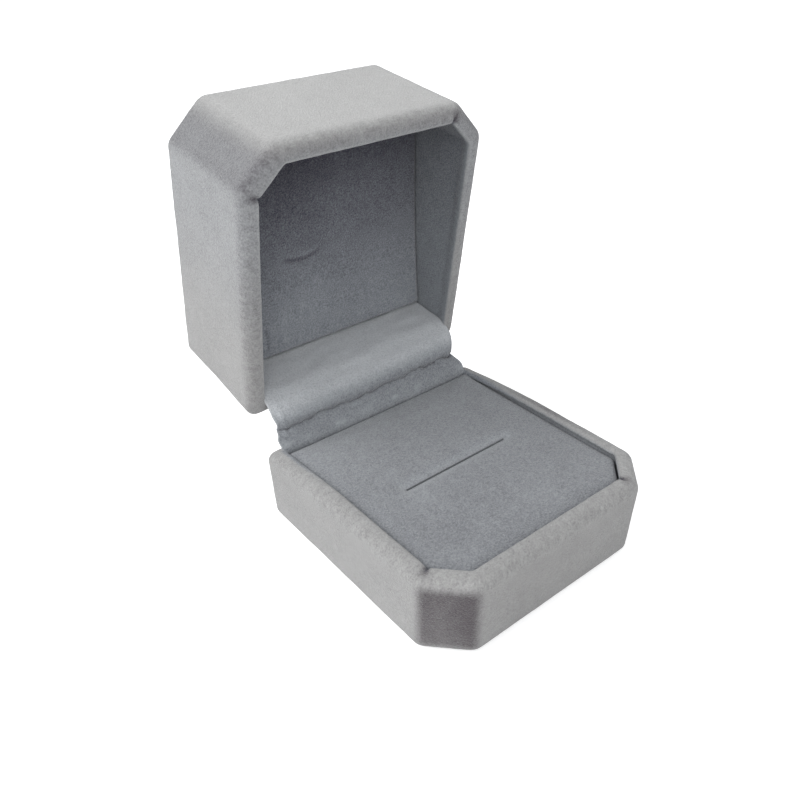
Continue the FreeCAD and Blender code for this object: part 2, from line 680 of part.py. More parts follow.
hinge_pin = make_body("hinge_pin")
pin_half = hinge_half + S["pin_fit"]
pin_end = pin_half + S["pin_head_length"]
pin_section = new_sketch(hinge_pin, "pin_section", "XZ_Plane")
pin_section.setExpression("AttachmentOffset.Base.z", (-pin_y).formula)
pin_section.setExpression("AttachmentOffset.Base.y", pin_z.formula)
pin_section.AttachmentOffset.Base = FreeCAD.Vector(0, pin_z.value, -pin_y.value)
peen = S["pin_head"] / 2
crown = S["pin_crown"] / 2
draw_polygon(pin_section, [(-pin_end, 0), (-pin_end, crown), (-pin_half, peen), (-pin_half, pin_radius),
                           (pin_half, pin_radius), (pin_half, peen), (pin_end, crown), (pin_end, 0)])
turn_feature(hinge_pin, "Revolution", "pin_turned", pin_section, "H_Axis")

base_leaf_rivets = make_body("base_leaf_rivets")
rivet_section(base_leaf_rivets, "base_rivet", base_outside, spring_face, base_rivet_z, ZERO, "Revolution")

# ---------------------------------------------------------------- lid, drawn shut

lid_shell = make_body("lid_shell")
lid_shell_rim = lid_crest + S["velvet"]
lid_shell_top = lid_top - S["velvet"]
tray_block(lid_shell, False, lid_shell_top, lid_shell_rim, S["velvet"], False)
dress_tray(lid_shell, bevel_edges, lid_shell_rim, S["rim_bevel"], lid_shell_top, S["back_bevel"], False)
lid_ceiling = lid_top - S["velvet"] - S["floor"]
hollow(lid_shell, "lid_cavity", False, lid_crest, lid_ceiling - lid_crest, shell_inner)
doc.recompute()
rivet_section(lid_shell, "lid_rivet_hole", rear + OVER, leaf_y, lid_rivet_z, S["rivet_fit"], "Groove")

lid_form = make_body("lid_form")
tray_block(lid_form, False, lid_top, lid_crest, ZERO, False)
dress_tray(lid_form, round_edges, lid_crest, S["rim_round"], lid_top, S["top_round"], False)
hollow(lid_form, "lid_form_mouth", False, lid_crest, lid_ceiling - lid_crest, cavity_inner)
bevel_lip(lid_form, lid_crest, False, cavity_inner)
hollow(lid_form, "lid_form_cavity", False, lid_crest + S["lid_turn"],
       lid_ceiling - lid_crest - S["lid_turn"], shell_inner)
cut_box(lid_form, "lid_form_window", notch_half, leaf_face - OVER, leaf_y, lid_crest - OVER, lid_ceiling)
doc.recompute()
rivet_section(lid_form, "lid_form_rivet_hole", base_outside, leaf_y, lid_rivet_z, S["rivet_fit"], "Groove")
lid_velvet = cut_object("lid_velvet", lid_form, lid_shell)

lid_leaf_rivets = make_body("lid_leaf_rivets")
rivet_section(lid_leaf_rivets, "lid_rivet", base_outside, leaf_face, lid_rivet_z, ZERO, "Revolution")

# The ceiling is three layers with the same tilt and bow.
ceiling_edge = cavity_inner + S["ceiling_fit"]
ceiling_back = rear - S["ceiling_stop"]
ceiling_nose = front + ceiling_edge


def ceiling_layer(name, lift, thickness):
    """One layer of the ceiling: the plan of the lid's inside between two bowed surfaces."""
    body = make_body(name)
    low = lid_crest + S["ceiling_rear"] - OVER
    high = lid_crest + S["ceiling_front"] + S["ceiling_bow"] * 2 + lift + thickness
    pad_plan(body, name + "_block", low, high - low, ceiling_edge, S["ceiling_stop"])
    for side, level, edge_z in (("under", lift, low - OVER), ("over", lift + thickness, high + OVER)):
        sketch = new_sketch(body, name + "_" + side + "_side", "YZ_Plane")
        back = (ceiling_back, lid_crest + S["ceiling_rear"] + level)
        nose = (ceiling_nose, lid_crest + S["ceiling_front"] + level)
        draw_bulge(sketch, back, nose, S["ceiling_bow"],
                   [(ceiling_nose - OVER, nose[1]), (ceiling_nose - OVER, edge_z),
                    (ceiling_back + OVER, edge_z), (ceiling_back + OVER, back[1])])
        add_feature(body, "Pocket", name + "_" + side, sketch, both=True)
    return body


ceiling_velvet = ceiling_layer("ceiling_velvet", ZERO, S["velvet"])
ceiling_foam = ceiling_layer("ceiling_foam", S["velvet"], S["ceiling_foam"])
ceiling_card = ceiling_layer("ceiling_card", S["velvet"] + S["ceiling_foam"], S["ceiling_card"])

# ---------------------------------------------------------------- hinge flap

swing = FreeCAD.Rotation(FreeCAD.Vector(1, 0, 0), -S["open_angle"].value)
open_turn = FreeCAD.Placement(FreeCAD.Vector(), swing, FreeCAD.Vector(0, pin_y.value, pin_z.value))


def build_flap():
    """The velvet flap with the lid open: up from behind the ring pad and over into the lid."""
    thick = S["flap_sheet"].value
    base_y = (rear - S["pad_rear"] + spring_face).value / 2 - thick / 2
    lid_y = (leaf_face - S["rivet_dome"] - S["flap_fit"]).value - thick
    tucked = FreeCAD.Vector(0, base_y, (pad_top - S["flap_tuck"]).value)
    rim = open_turn.multVec(FreeCAD.Vector(0, lid_y, lid_crest.value))
    end = open_turn.multVec(FreeCAD.Vector(0, lid_y, (lid_crest + S["flap_reach"]).value))
    along = (end - rim).normalize()
    up = FreeCAD.Vector(0, 0, 1)
    bend = S["flap_bend"].value
    half_turn = math.radians(S["open_angle"].value / 2)
    meet = rim - along * ((rim.y - base_y) / along.y)
    lower = meet - up * bend * math.tan(half_turn)
    upper = meet + along * bend * math.tan(half_turn)
    centre = lower + FreeCAD.Vector(0, bend, 0)
    middle = centre + (meet - centre).normalize() * bend
    path = Part.Wire([Part.makeLine(tucked, lower), Part.Arc(lower, middle, upper).toShape(),
                      Part.makeLine(upper, end)])
    section = path.makeOffset2D(thick, join=0, fill=True, openResult=True)
    half = (half_width - cavity_inner - S["flap_side"]).value
    flap = section.extrude(FreeCAD.Vector(2 * half, 0, 0))
    flap.translate(FreeCAD.Vector(-half, 0, 0))
    span = bend * math.sin(half_turn)
    waist = S["flap_waist"].value
    radius = (span * span + waist * waist) / (2 * waist)
    normal = (middle - centre).normalize()
    for side in (-1, 1):
        foot = middle + FreeCAD.Vector(side * (half - waist + radius), 0, 0) - normal * bend
        flap = flap.cut(Part.makeCylinder(radius, 2 * bend, foot, normal))
    return flap


hinge_flap = doc.addObject("Part::Feature", "hinge_flap")
hinge_flap.Label = "hinge_flap"
hinge_flap.Shape = build_flap()
hinge_flap.Placement = FreeCAD.Placement()

# ---------------------------------------------------------------- assembly and export

BASE_NODES = [base_shell, base_velvet, bottom_card, pad_board, ring_pad_foam, ring_pad_velvet,
              hinge_base_leaf, base_leaf_rivets, hinge_snap_spring, hinge_pin, hinge_flap]
LID_NODES = [lid_shell, lid_velvet, ceiling_card, ceiling_foam, ceiling_velvet,
             hinge_lid_leaf, lid_leaf_rivets]
doc.recompute()
for node in LID_NODES:
    if node is not lid_velvet:
        node.Placement = open_turn
lid_form.Placement = open_turn
doc.recompute()

failed = [item.Label for item in doc.Objects if {"Invalid", "Error"} & set(item.State)]
if failed:
    raise ValueError("failed: " + ", ".join(failed))
for node in BASE_NODES + LID_NODES:
    if node.Shape.isNull() or not node.Shape.isValid() or not node.Shape.Solids:
        raise ValueError("bad shape: " + node.Label)
for node in BASE_NODES + LID_NODES:
    node.Shape.exportStep(os.path.join(PARTS, node.Label + ".step"))
    print("%-18s %d solids %9.2f mm3" % (node.Label, len(node.Shape.Solids), node.Shape.Volume))
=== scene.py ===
import json
import math

import bmesh
import bpy
from bpy.props import FloatProperty, FloatVectorProperty, PointerProperty
from mathutils import Matrix, Vector, noise


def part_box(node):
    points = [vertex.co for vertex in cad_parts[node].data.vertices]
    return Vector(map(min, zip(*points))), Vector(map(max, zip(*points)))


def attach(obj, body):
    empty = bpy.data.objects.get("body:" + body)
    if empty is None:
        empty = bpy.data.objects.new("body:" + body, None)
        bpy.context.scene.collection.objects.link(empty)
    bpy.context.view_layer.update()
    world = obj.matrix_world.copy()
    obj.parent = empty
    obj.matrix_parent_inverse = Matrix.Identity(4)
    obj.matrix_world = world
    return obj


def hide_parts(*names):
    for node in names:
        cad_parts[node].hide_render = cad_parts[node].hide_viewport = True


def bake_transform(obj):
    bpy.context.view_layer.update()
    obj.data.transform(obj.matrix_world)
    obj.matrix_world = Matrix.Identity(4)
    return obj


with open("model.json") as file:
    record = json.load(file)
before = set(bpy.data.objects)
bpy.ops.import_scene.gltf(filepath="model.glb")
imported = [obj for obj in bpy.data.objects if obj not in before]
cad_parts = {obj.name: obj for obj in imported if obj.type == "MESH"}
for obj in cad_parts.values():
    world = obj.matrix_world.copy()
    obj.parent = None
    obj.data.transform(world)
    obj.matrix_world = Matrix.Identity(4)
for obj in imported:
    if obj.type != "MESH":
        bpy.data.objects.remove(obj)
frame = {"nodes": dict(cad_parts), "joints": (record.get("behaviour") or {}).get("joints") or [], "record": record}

bl_info = {
    "name": "Velvet Ring Box",
    "version": (1, 0, 0),
    "blender": (4, 5, 0),
    "location": "View3D > Sidebar > Ring Box",
    "description": "Covers a hinged ring box in velvet, with its ring pad, ceiling and hinge flap",
    "category": "Add Mesh",
}

MM = 0.001
# A 45 degree corner cut shortens by this share of the inset when its outline is drawn inwards.
CUT_SHARE = 2 - math.sqrt(2)
# The ends of a cut corner get tighter by this share of the inset.
ROUND_SHARE = 0.5
# Steps of the plan outline: half of a cut corner, a cut's rounded end, half of a rear corner.
HALF_CUT_STEPS = 9
CUT_END_STEPS = 5
HALF_REAR_STEPS = 6
SIDE_STEPS = 96
RING_STEPS = 4 * SIDE_STEPS
# Spacing of the rings of a cover along its walls.
WALL_STEP = 0.8 * MM

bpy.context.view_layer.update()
BASE_LOW, BASE_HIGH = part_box("base_velvet")
HALF_WIDTH, REAR, CREST = BASE_HIGH
FRONT, UNDER = BASE_LOW.yz
PIN = Vector(frame["joints"][0]["pos_m"])
TRAVEL = math.radians(frame["joints"][0]["range_deg"][1])
OPEN = Matrix.Translation(PIN) @ Matrix.Rotation(-TRAVEL, 4, "X") @ Matrix.Translation(-PIN)


def shut_box(node):
    """The corners of one of the lid's nodes with the lid shut."""
    points = [OPEN.inverted() @ vert.co for vert in frame["nodes"][node].data.vertices]
    return [Vector([pick(point[axis] for point in points) for axis in range(3)]) for pick in (min, max)]


LID_LOW, LID_HIGH = shut_box("lid_velvet")
LID_CREST = LID_LOW.z
LID_TOP = LID_HIGH.z
PAD_LOW, PAD_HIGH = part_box("ring_pad_velvet")
FOAM_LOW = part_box("ring_pad_foam")[0]
CEILING_LOW, CEILING_HIGH = shut_box("ceiling_velvet")


# ---- sizes and colours a user may set

def number(name, text, default, **more):
    return FloatProperty(name=name, description=text, default=default, **more)


def measure(name, text, millimetres):
    return number(name, text, millimetres * MM, unit="LENGTH", precision=5)


def share(name, text, default):
    return number(name, text, default, min=0, max=1, subtype="FACTOR")


def colour(name, text, default):
    return FloatVectorProperty(name=name, description=text, default=default, size=3, min=0, max=1,
                               subtype="COLOR")


class RINGBOX_case(bpy.types.PropertyGroup):
    """Sizes of the covers of the base and the lid"""
    corner_cut: measure("Corner cut", "Leg of each cut front corner", 7.4)
    rear_round: measure("Rear corners", "Plan radius of the rear corners", 2.4)
    cut_round: measure("Cut ends", "Plan radius at each end of a cut corner", 3.0)
    inner_round: measure("Inner corners", "Smallest plan radius inside the rim", 0.3)
    rim_width: measure("Rim width", "Outside to the inner edge of a rim's roll", 3.65)
    wall: measure("Wall", "Outside to the velvet inside the walls", 3.1)
    rim_height: measure("Rim rounding height", "Height of the outer rounding of a rim", 2.3)
    rim_run: measure("Rim rounding run", "Width of the outer rounding of a rim", 2.95)
    foot_round: measure("Foot rounding", "Radius at the foot of the base", 1.3)
    top_round: measure("Top rounding", "Radius round the lid top", 1.4)
    foot_inset: measure("Foot inset", "Lean of the base walls from rim to foot", 0.5)
    rear_sag: measure("Rear sag", "Drop of the base rim at the back", 1.6)
    sag_length: measure("Sag length", "Length over which the base rim drops", 26.0)
    skin: measure("Velvet", "Thickness of the velvet", 0.6)
    base_turn: measure("Base turn", "Velvet turned down inside the base rim", 5.0)
    lid_turn: measure("Lid turn", "Velvet turned in past the lid rim", 20.5)
    under_turn: measure("Under turn", "Velvet turned under the base, from the outside", 9.0)
    dart_reach: measure("Dart reach", "How far the gathered creases run outwards", 3.2)
    dart_depth: measure("Dart depth", "Depth of the gathered creases in the rims", 0.65)
    dart_width: measure("Dart width", "Half width of the gathered creases", 0.38)
    gather: measure("Gather", "Bulge of the velvet gathered beside the hinge", 0.9)
    pile_wave: measure("Pile wave", "Height of the soft unevenness of the velvet", 0.05)


class RINGBOX_velvet(bpy.types.PropertyGroup):
    """Colours and grain of the velvet"""
    # Colours from darkest to lightest: the darker and lighter ends are reached through painted shade and painted
    # light as well as through the tufts.
    darkest: colour("Brushed away", "Velvet where the pile lies away", (0.088, 0.077, 0.084))
    middle: colour("Middle", "Velvet as it lies on most of the box", (0.336, 0.333, 0.331))
    lightest: colour("Raised", "Velvet where the pile stands up", (0.57, 0.568, 0.56))
    # A cooler copy of these colours, tinting the painted shade on the insides, the pad, the ceiling and the flap.
    shade_tint_darkest: colour("Brushed away, cool", "Velvet inside where the pile lies away", (0.048, 0.046, 0.062))
    shade_tint_middle: colour("Middle, cool", "Velvet inside", (0.315, 0.335, 0.36))
    shade_tint_lightest: colour("Raised, cool", "Velvet inside where the pile stands up", (0.54, 0.56, 0.585))
    grain: measure("Grain", "Size of the tufts of pile", 0.34)
    sheen: share("Sheen", "Weight of the soft sheen of the pile", 0.35)


class RINGBOX_pad(bpy.types.PropertyGroup):
    """Sizes of the ring pad"""
    edge_round: measure("Edge rounding", "Radius round the top of the ring pad", 0.65)
    slit_length: measure("Slit length", "Length of the ring slit", 26.0)
    slit_width: measure("Slit width", "Width of the ring slit", 0.5)
    slit_depth: measure("Slit depth", "Depth of the ring slit", 9.0)
    dip_depth: measure("Dip depth", "Dip of the velvet into the slit", 0.9)
    dip_width: measure("Dip width", "Half width of the dip", 1.3)
    rear_press: measure("Rear press", "How far the pad presses back towards the flap", 0.4)
    fill: share("Fill", "Firmness of the foam under the velvet", 0.9)


class RINGBOX_ceiling(bpy.types.PropertyGroup):
    """Sizes of the padded ceiling"""
    edge_round: measure("Edge rounding", "Radius round the ceiling", 0.5)
    thickness: measure("Thickness", "Thickness of the velvet and its foam", 1.6)
    front_rise: measure("Front rise", "Height of the front edge over the lid's rim", 17.5)
    rear_rise: measure("Rear rise", "Height of the rear edge over the lid's rim", 9.8)
    bow: measure("Bow", "Height of the bow between the two edges", 0.9)


class RINGBOX_flap(bpy.types.PropertyGroup):
    """Sizes of the hinge flap"""
    width: measure("Width", "Width of the flap at its two ends", 49.4)
    waist: measure("Waist", "How far each side is drawn in at the fold", 0.5)
    spread: measure("Spread", "How far each side spreads over the base rim", 0.45)
    sheet: measure("Thickness", "Thickness of the velvet flap", 0.6)
    crease: measure("Crease", "Depth of the wavy crease", 0.75)
    crease_width: measure("Crease width", "Half width of the wavy crease", 0.36)
    draw_in: measure("Draw in", "How far the right end is drawn in above the fold", 1.1)


class RINGBOX_stage(bpy.types.PropertyGroup):
    """Floor, light and camera"""
    floor_colour: colour("Floor", "Colour of the floor", (0.92, 0.92, 0.92))
    floor_glow: colour("Floor glow", "Extra light of the floor, only as the camera sees it", (0.5, 0.5, 0.5))
    key: number("Key", "Power of the light from the left", 5.6, unit="POWER")
    fill: number("Fill", "Power of the light from the front", 2.5, unit="POWER")
    ambient: number("Ambient", "Strength of the light from all round", 0.55)
    eye: FloatVectorProperty(name="Eye", description="Place of the camera", size=3, unit="LENGTH",
                             default=(-88.03 * MM, -91.21 * MM, 113.29 * MM))
    azimuth: number("Azimuth", "Camera azimuth", math.radians(-36.53), subtype="ANGLE")
    elevation: number("Elevation", "Camera height angle", math.radians(32.49), subtype="ANGLE")
    roll: number("Roll", "Camera roll", math.radians(-1.95), subtype="ANGLE")
    lens: number("Lens", "Focal length in millimetres", 35.87, unit="CAMERA")
    shift_x: number("Shift X", "Sideways shift of the frame", 0.0351)
    shift_y: number("Shift Y", "Upward shift of the frame", -0.0104)


# ---- shaping helpers

def plan_arc(corner, before, after, radius, steps):
    """Points round one corner of the plan, with both its ends."""
    turn = before.angle(after)
    start = corner - before * radius * math.tan(turn / 2)
    centre = start + Vector((-before.y, before.x)) * radius
    return [centre + Matrix.Rotation(turn * step / steps, 2) @ (start - centre) for step in range(steps + 1)]


def case_outline(case, inset, rear_inset=None):
    """The plan of the box drawn in by an inset, anticlockwise from the middle of its left front cut."""
    side = HALF_WIDTH - inset
    nose = FRONT + inset
    back = REAR - (inset if rear_inset is None else rear_inset)
    cut = case.corner_cut - inset * CUT_SHARE
    corners = [Vector(point) for point in ((-side + cut, nose), (side - cut, nose), (side, nose + cut),
                                           (side, back), (-side, back), (-side, nose + cut))]
    ways = [(corners[(place + 1) % 6] - corners[place]).normalized() for place in range(6)]
    cut_end = max(case.cut_round - inset * ROUND_SHARE, case.inner_round), CUT_END_STEPS
    rear = max(case.rear_round - inset, case.inner_round), 2 * HALF_REAR_STEPS
    arcs = [plan_arc(corners[place], ways[place - 1], ways[place], *bend)
            for place, bend in enumerate((cut_end, cut_end, cut_end, rear, rear, cut_end))]
    front_steps = SIDE_STEPS - 2 * (HALF_CUT_STEPS + CUT_END_STEPS)
    cut_steps = 2 * HALF_CUT_STEPS
    side_steps = SIDE_STEPS - HALF_CUT_STEPS - CUT_END_STEPS - HALF_REAR_STEPS
    rear_steps = SIDE_STEPS - 2 * HALF_REAR_STEPS
    points = []
    for place, steps in enumerate((front_steps, cut_steps, side_steps, rear_steps, side_steps, cut_steps)):
        start, end = arcs[place][-1], arcs[(place + 1) % 6][0]
        points += arcs[place][:-1] + [start.lerp(end, step / steps) for step in range(steps)]
    return points[-HALF_CUT_STEPS:] + points[:-HALF_CUT_STEPS]


def arc_stations(centre, radii, start, end, steps):
    """Profile points (inset, height) on a quarter ellipse, without the first one."""
    turns = [math.radians(start + (end - start) * step / steps) for step in range(1, steps + 1)]
    return [(centre[0] + radii[0] * math.cos(turn), centre[1] + radii[1] * math.sin(turn)) for turn in turns]


def line_stations(start, end, spacing):
    """Profile points on a straight stretch, without the first one."""
    reach = math.dist(start, end)
    steps = max(1, round(reach / spacing))
    return [(start[0] + (end[0] - start[0]) * step / steps, start[1] + (end[1] - start[1]) * step / steps)
            for step in range(1, steps + 1)]


def ways_along(points):
    """How far along a line of points each of them lies."""
    ways = [0.0]
    for before, after in zip(points, points[1:]):
        ways.append(ways[-1] + (after - before).length)
    return ways


def smoothstep(low, high, value):
    """0 at low, 1 at high and smooth between; low may be the greater."""
    part = min(1.0, max(0.0, (value - low) / (high - low)))
    return part * part * (3 - 2 * part)


def bell(distance, width):
    return math.exp(-(distance / width) ** 2)


class Skin:
    """A velvet skin that grows ring by ring along a profile of insets and heights."""

    def __init__(self, case):
        self.case = case
        self.bm = bmesh.new()
        verts = self.bm.verts.layers
        self.turn = verts.int.new("turn")
        self.inset, self.across, self.shown = (verts.float.new(name) for name in ("inset", "across", "shown"))
        self.first_ring = self.ring = []
        self.travelled = 0.0
        self.last = None

    def mark(self, vert, turn, station, shown):
        vert[self.turn] = turn
        vert[self.inset] = station[0]
        vert[self.across] = self.travelled
        vert[self.shown] = shown

    def start_ring(self, station):
        """Begin with an open ring of the outline."""
        made = bmesh.ops.create_circle(self.bm, cap_ends=False, segments=RING_STEPS, radius=1.0)
        outline = case_outline(self.case, station[0])
        for turn, vert in enumerate(made["verts"]):
            vert.co = (*outline[turn], station[1])
            self.mark(vert, turn, station, 1.0)
        self.first_ring = self.ring = list(self.bm.edges)
        self.last = station

    def start_panel(self, station, rear_inset=None):
        """Begin with a whole panel that fills the outline."""
        n = SIDE_STEPS
        bmesh.ops.create_grid(self.bm, x_segments=n, y_segments=n, size=1.0)
        rim = case_outline(self.case, station[0], rear_inset)
        for vert in self.bm.verts:
            i, j = (round((value + 1) / 2 * n) for value in vert.co.xy)
            u, v = i / n, j / n
            edges = rim[i] * (1 - v) + rim[3 * n - i] * v + rim[-j] * (1 - u) + rim[n + j] * u
            corners = (rim[0] * (1 - u) + rim[n] * u) * (1 - v) + (rim[3 * n] * (1 - u) + rim[2 * n] * u) * v
            vert.co = (*(edges - corners), station[1])
            sides = (j == 0, i), (i == n, n + j), (j == n, 3 * n - i), (i == 0, 4 * n - j)
            turn = next((place for on_side, place in sides if on_side), -1)
            self.mark(vert, turn, station, 1.0)
        self.ring = [edge for edge in self.bm.edges if edge.is_boundary]
        self.last = station

    def grow(self, stations, shown=1.0, rear_inset=None):
        for station in stations:
            self.travelled += math.dist(self.last, station)
            outline = case_outline(self.case, station[0], rear_inset)
            geometry = bmesh.ops.extrude_edge_only(self.bm, edges=self.ring)["geom"]
            verts = {item for item in geometry if isinstance(item, bmesh.types.BMVert)}
            for vert in verts:
                turn = vert[self.turn]
                vert.co = (*outline[turn], station[1])
                self.mark(vert, turn, station, shown)
            self.ring = [item for item in geometry
                         if isinstance(item, bmesh.types.BMEdge) and set(item.verts) <= verts]
            self.last = station

    def close_ring(self):
        bmesh.ops.bridge_loops(self.bm, edges=self.ring + self.first_ring)

    def close_panel(self):
        bmesh.ops.holes_fill(self.bm, edges=self.ring, sides=0)

    def dress(self, change):
        """Move each vertex by what change(co, inset) gives, add uneven pile and the map, and hand over."""
        for vert in self.bm.verts:
            vert.co += change(vert.co, vert[self.inset])
        self.pile(self.case.pile_wave)
        self.strands()
        return self.bm

    def pile(self, height):
        """Lift and drop the visible side a little, as uneven pile does."""
        self.bm.normal_update()
        lifts = []
        for vert in self.bm.verts:
            point = vert.co / MM
            lift = noise.noise(point / 5.0) + 0.5 * noise.noise(point / 1.7) + 0.35 * noise.noise(point / 0.9)
            lifts.append(vert.normal * height * lift * vert[self.shown])
        for vert, lift in zip(self.bm.verts, lifts):
            vert.co += lift

    def strands(self):
        """A map that follows the surface: round the outline and across the profile, in metres."""
        layer = self.bm.loops.layers.uv.new("strands")
        outline = case_outline(self.case, 0)
        round_way = ways_along([*outline, outline[0]])
        for face in self.bm.faces:
            turns = [loop.vert[self.turn] for loop in face.loops]
            wraps = max(turns) - min(turns) > RING_STEPS / 2
            for loop, turn in zip(face.loops, turns):
                turn = RING_STEPS if wraps and turn == 0 else turn
                loop[layer].uv = (round_way[max(turn, 0)], loop.vert[self.across])


def finish_mesh(name, bm, smooth=True):
    """Turn a bmesh into an object of the scene, with its faces outwards."""
    bmesh.ops.recalc_face_normals(bm, faces=bm.faces)
    mesh = bpy.data.meshes.new(name)
    bm.to_mesh(mesh)
    bm.free()
    mesh.polygons.foreach_set("use_smooth", [smooth] * len(mesh.polygons))
    item = bpy.data.objects.new(name, mesh)
    bpy.context.scene.collection.objects.link(item)
    return item


def bake_modifiers(item):
    """Replace the mesh of an object by what its modifiers make of it."""
    depsgraph = bpy.context.evaluated_depsgraph_get()
    depsgraph.update()
    mesh = bpy.data.meshes.new_from_object(item.evaluated_get(depsgraph), preserve_all_data_layers=True,
                                           depsgraph=depsgraph)
    old = item.data
    mesh.name = old.name
    item.modifiers.clear()
    item.data = mesh
    bpy.data.meshes.remove(old)


def paint_pile(item, nap, brushed, cool):
    """Give a piece its velvet, with its painted light and shade, how brushed it is and how much the shade is
    tinted, at each vertex.
    """
    item.data.materials.clear()
    item.data.materials.append(velvet())
    for name, value_at in (("nap", nap), ("brushed", brushed), ("cool", cool)):
        layer = item.data.attributes.new(name, "FLOAT", "POINT")
        layer.data.foreach_set("value", [value_at(vert.co) for vert in item.data.vertices])


def inset_at(case, co):
    """How far inside the plan of the box a place lies."""
    reach = HALF_WIDTH - abs(co.x)
    cut = (reach + co.y - FRONT - case.corner_cut) / math.sqrt(2)
    return min(reach, co.y - FRONT, REAR - co.y, cut)


def cut_with_box(item, low, high):
    """Cut a box out of a closed piece."""
    low, high = Vector(low), Vector(high)
    bm = bmesh.new()
    bmesh.ops.create_cube(bm, size=1.0, matrix=Matrix.LocRotScale((low + high) / 2, None, high - low))
    cutter = finish_mesh("cutter", bm, smooth=False)
    modifier = item.modifiers.new("cut", "BOOLEAN")
    modifier.operation = "DIFFERENCE"
    modifier.solver = "EXACT"
    modifier.object = cutter
    bake_modifiers(item)
    bpy.data.objects.remove(cutter)


# ---- materials

class Tree:
    """A short way to write a material's nodes."""

    def __init__(self, name):
        self.material = bpy.data.materials.new(name)
        self.material.use_nodes = True
        self.nodes = self.material.node_tree.nodes
        self.links = self.material.node_tree.links
        self.shader = self.nodes["Principled BSDF"]

    def add(self, kind, **settings):
        node = self.nodes.new(kind)
        for name, value in settings.items():
            setattr(node, name, value)
        return node

    def link(self, source, target):
        self.links.new(source, target)

    def feed(self, name, source):
        """Link a value to an input of the shader."""
        self.link(source, self.shader.inputs[name])

    def place(self):
        return self.add("ShaderNodeTexCoord").outputs["Object"]

    def stretch(self, vector, scale):
        node = self.add("ShaderNodeMapping")
        node.inputs["Scale"].default_value = scale
        self.link(vector, node.inputs["Vector"])
        return node.outputs["Vector"]

    def math(self, operation, first, second):
        node = self.add("ShaderNodeMath", operation=operation)
        for socket, value in zip(node.inputs, (first, second)):
            if isinstance(value, (int, float)):
                socket.default_value = value
            else:
                self.link(value, socket)
        return node.outputs[0]

    def noise(self, vector, size, detail=2.0, roughness=0.5):
        node = self.add("ShaderNodeTexNoise")
        node.inputs["Scale"].default_value = 1.0 / size
        node.inputs["Detail"].default_value = detail
        node.inputs["Roughness"].default_value = roughness
        self.link(vector, node.inputs["Vector"])
        return node.outputs["Fac"]

    def ramp(self, factor, stops):
        node = self.add("ShaderNodeValToRGB")
        elements = node.color_ramp.elements
        while len(elements) < len(stops):
            elements.new(0.5)
        for element, (place, shade) in zip(elements, stops):
            element.position = place
            element.color = (*shade, 1.0)
        self.link(factor, node.inputs["Fac"])
        return node.outputs["Color"]

    def bump(self, height, strength, distance):
        node = self.add("ShaderNodeBump")
        node.inputs["Strength"].default_value = strength
        node.inputs["Distance"].default_value = distance
        self.link(height, node.inputs["Height"])
        self.feed("Normal", node.outputs["Normal"])

    def set(self, **values):
        for name, value in values.items():
            self.shader.inputs[name.replace("_", " ")].default_value = value


# Painted shade at each place, as how much darker it is painted, or painted light on a lip, the lid's
# front wall, the top of the flap and its fuzzy foot, and the real scuffs on the ceiling; 0.5 is all the
# way. The even tone of the base and of the lid comes first.
BASE_TONE = 0.03
LID_TONE = -0.01
PAINTED_LIGHT_AND_SCUFFS = {
    "left_cut": 0.48, "right_cut": 0.15, "base_front": 0.10, "base_left": 0.035, "base_inside": 0.16,
    "right_rim_shade": 0.34, "dart": 0.45, "lid_front": 0.35, "lid_cut": 0.16, "lid_side": 0.03,
    "lid_rim": 0.07, "lid_lip": 0.12, "lid_inside": 0.06, "lid_inside_front": 0.20,
    "pad": 0.10, "pad_front": 0.06, "pad_edge": 0.08, "slit_lips": 0.12,
    "ceiling": 0.16, "ceiling_middle": 0.20, "ceiling_front": 0.12, "scuff": 0.16,
    "flap_top": 0.44, "flap_low": 0.07, "flap_fuzz": 0.16, "flap_crease": 0.26, "flap_dip": 0.20,
}
# How much the tufts (and, added, the tufts of the velvet with the cooler tint of painted shade), the clouds, the
# broad patches and the strokes of a brush swing the tone of the pile, and how much painted light adds to its
# tufts.
TUFT_SWING = 0.72
SHADE_TINT_TUFT_SWING = 0.3
CLOUD_SWING = 0.12
BROAD_SWING = 0.12
STROKE_SWING = 0.45
TUFT_GAIN_WITH_PAINTED_LIGHT = 0.95


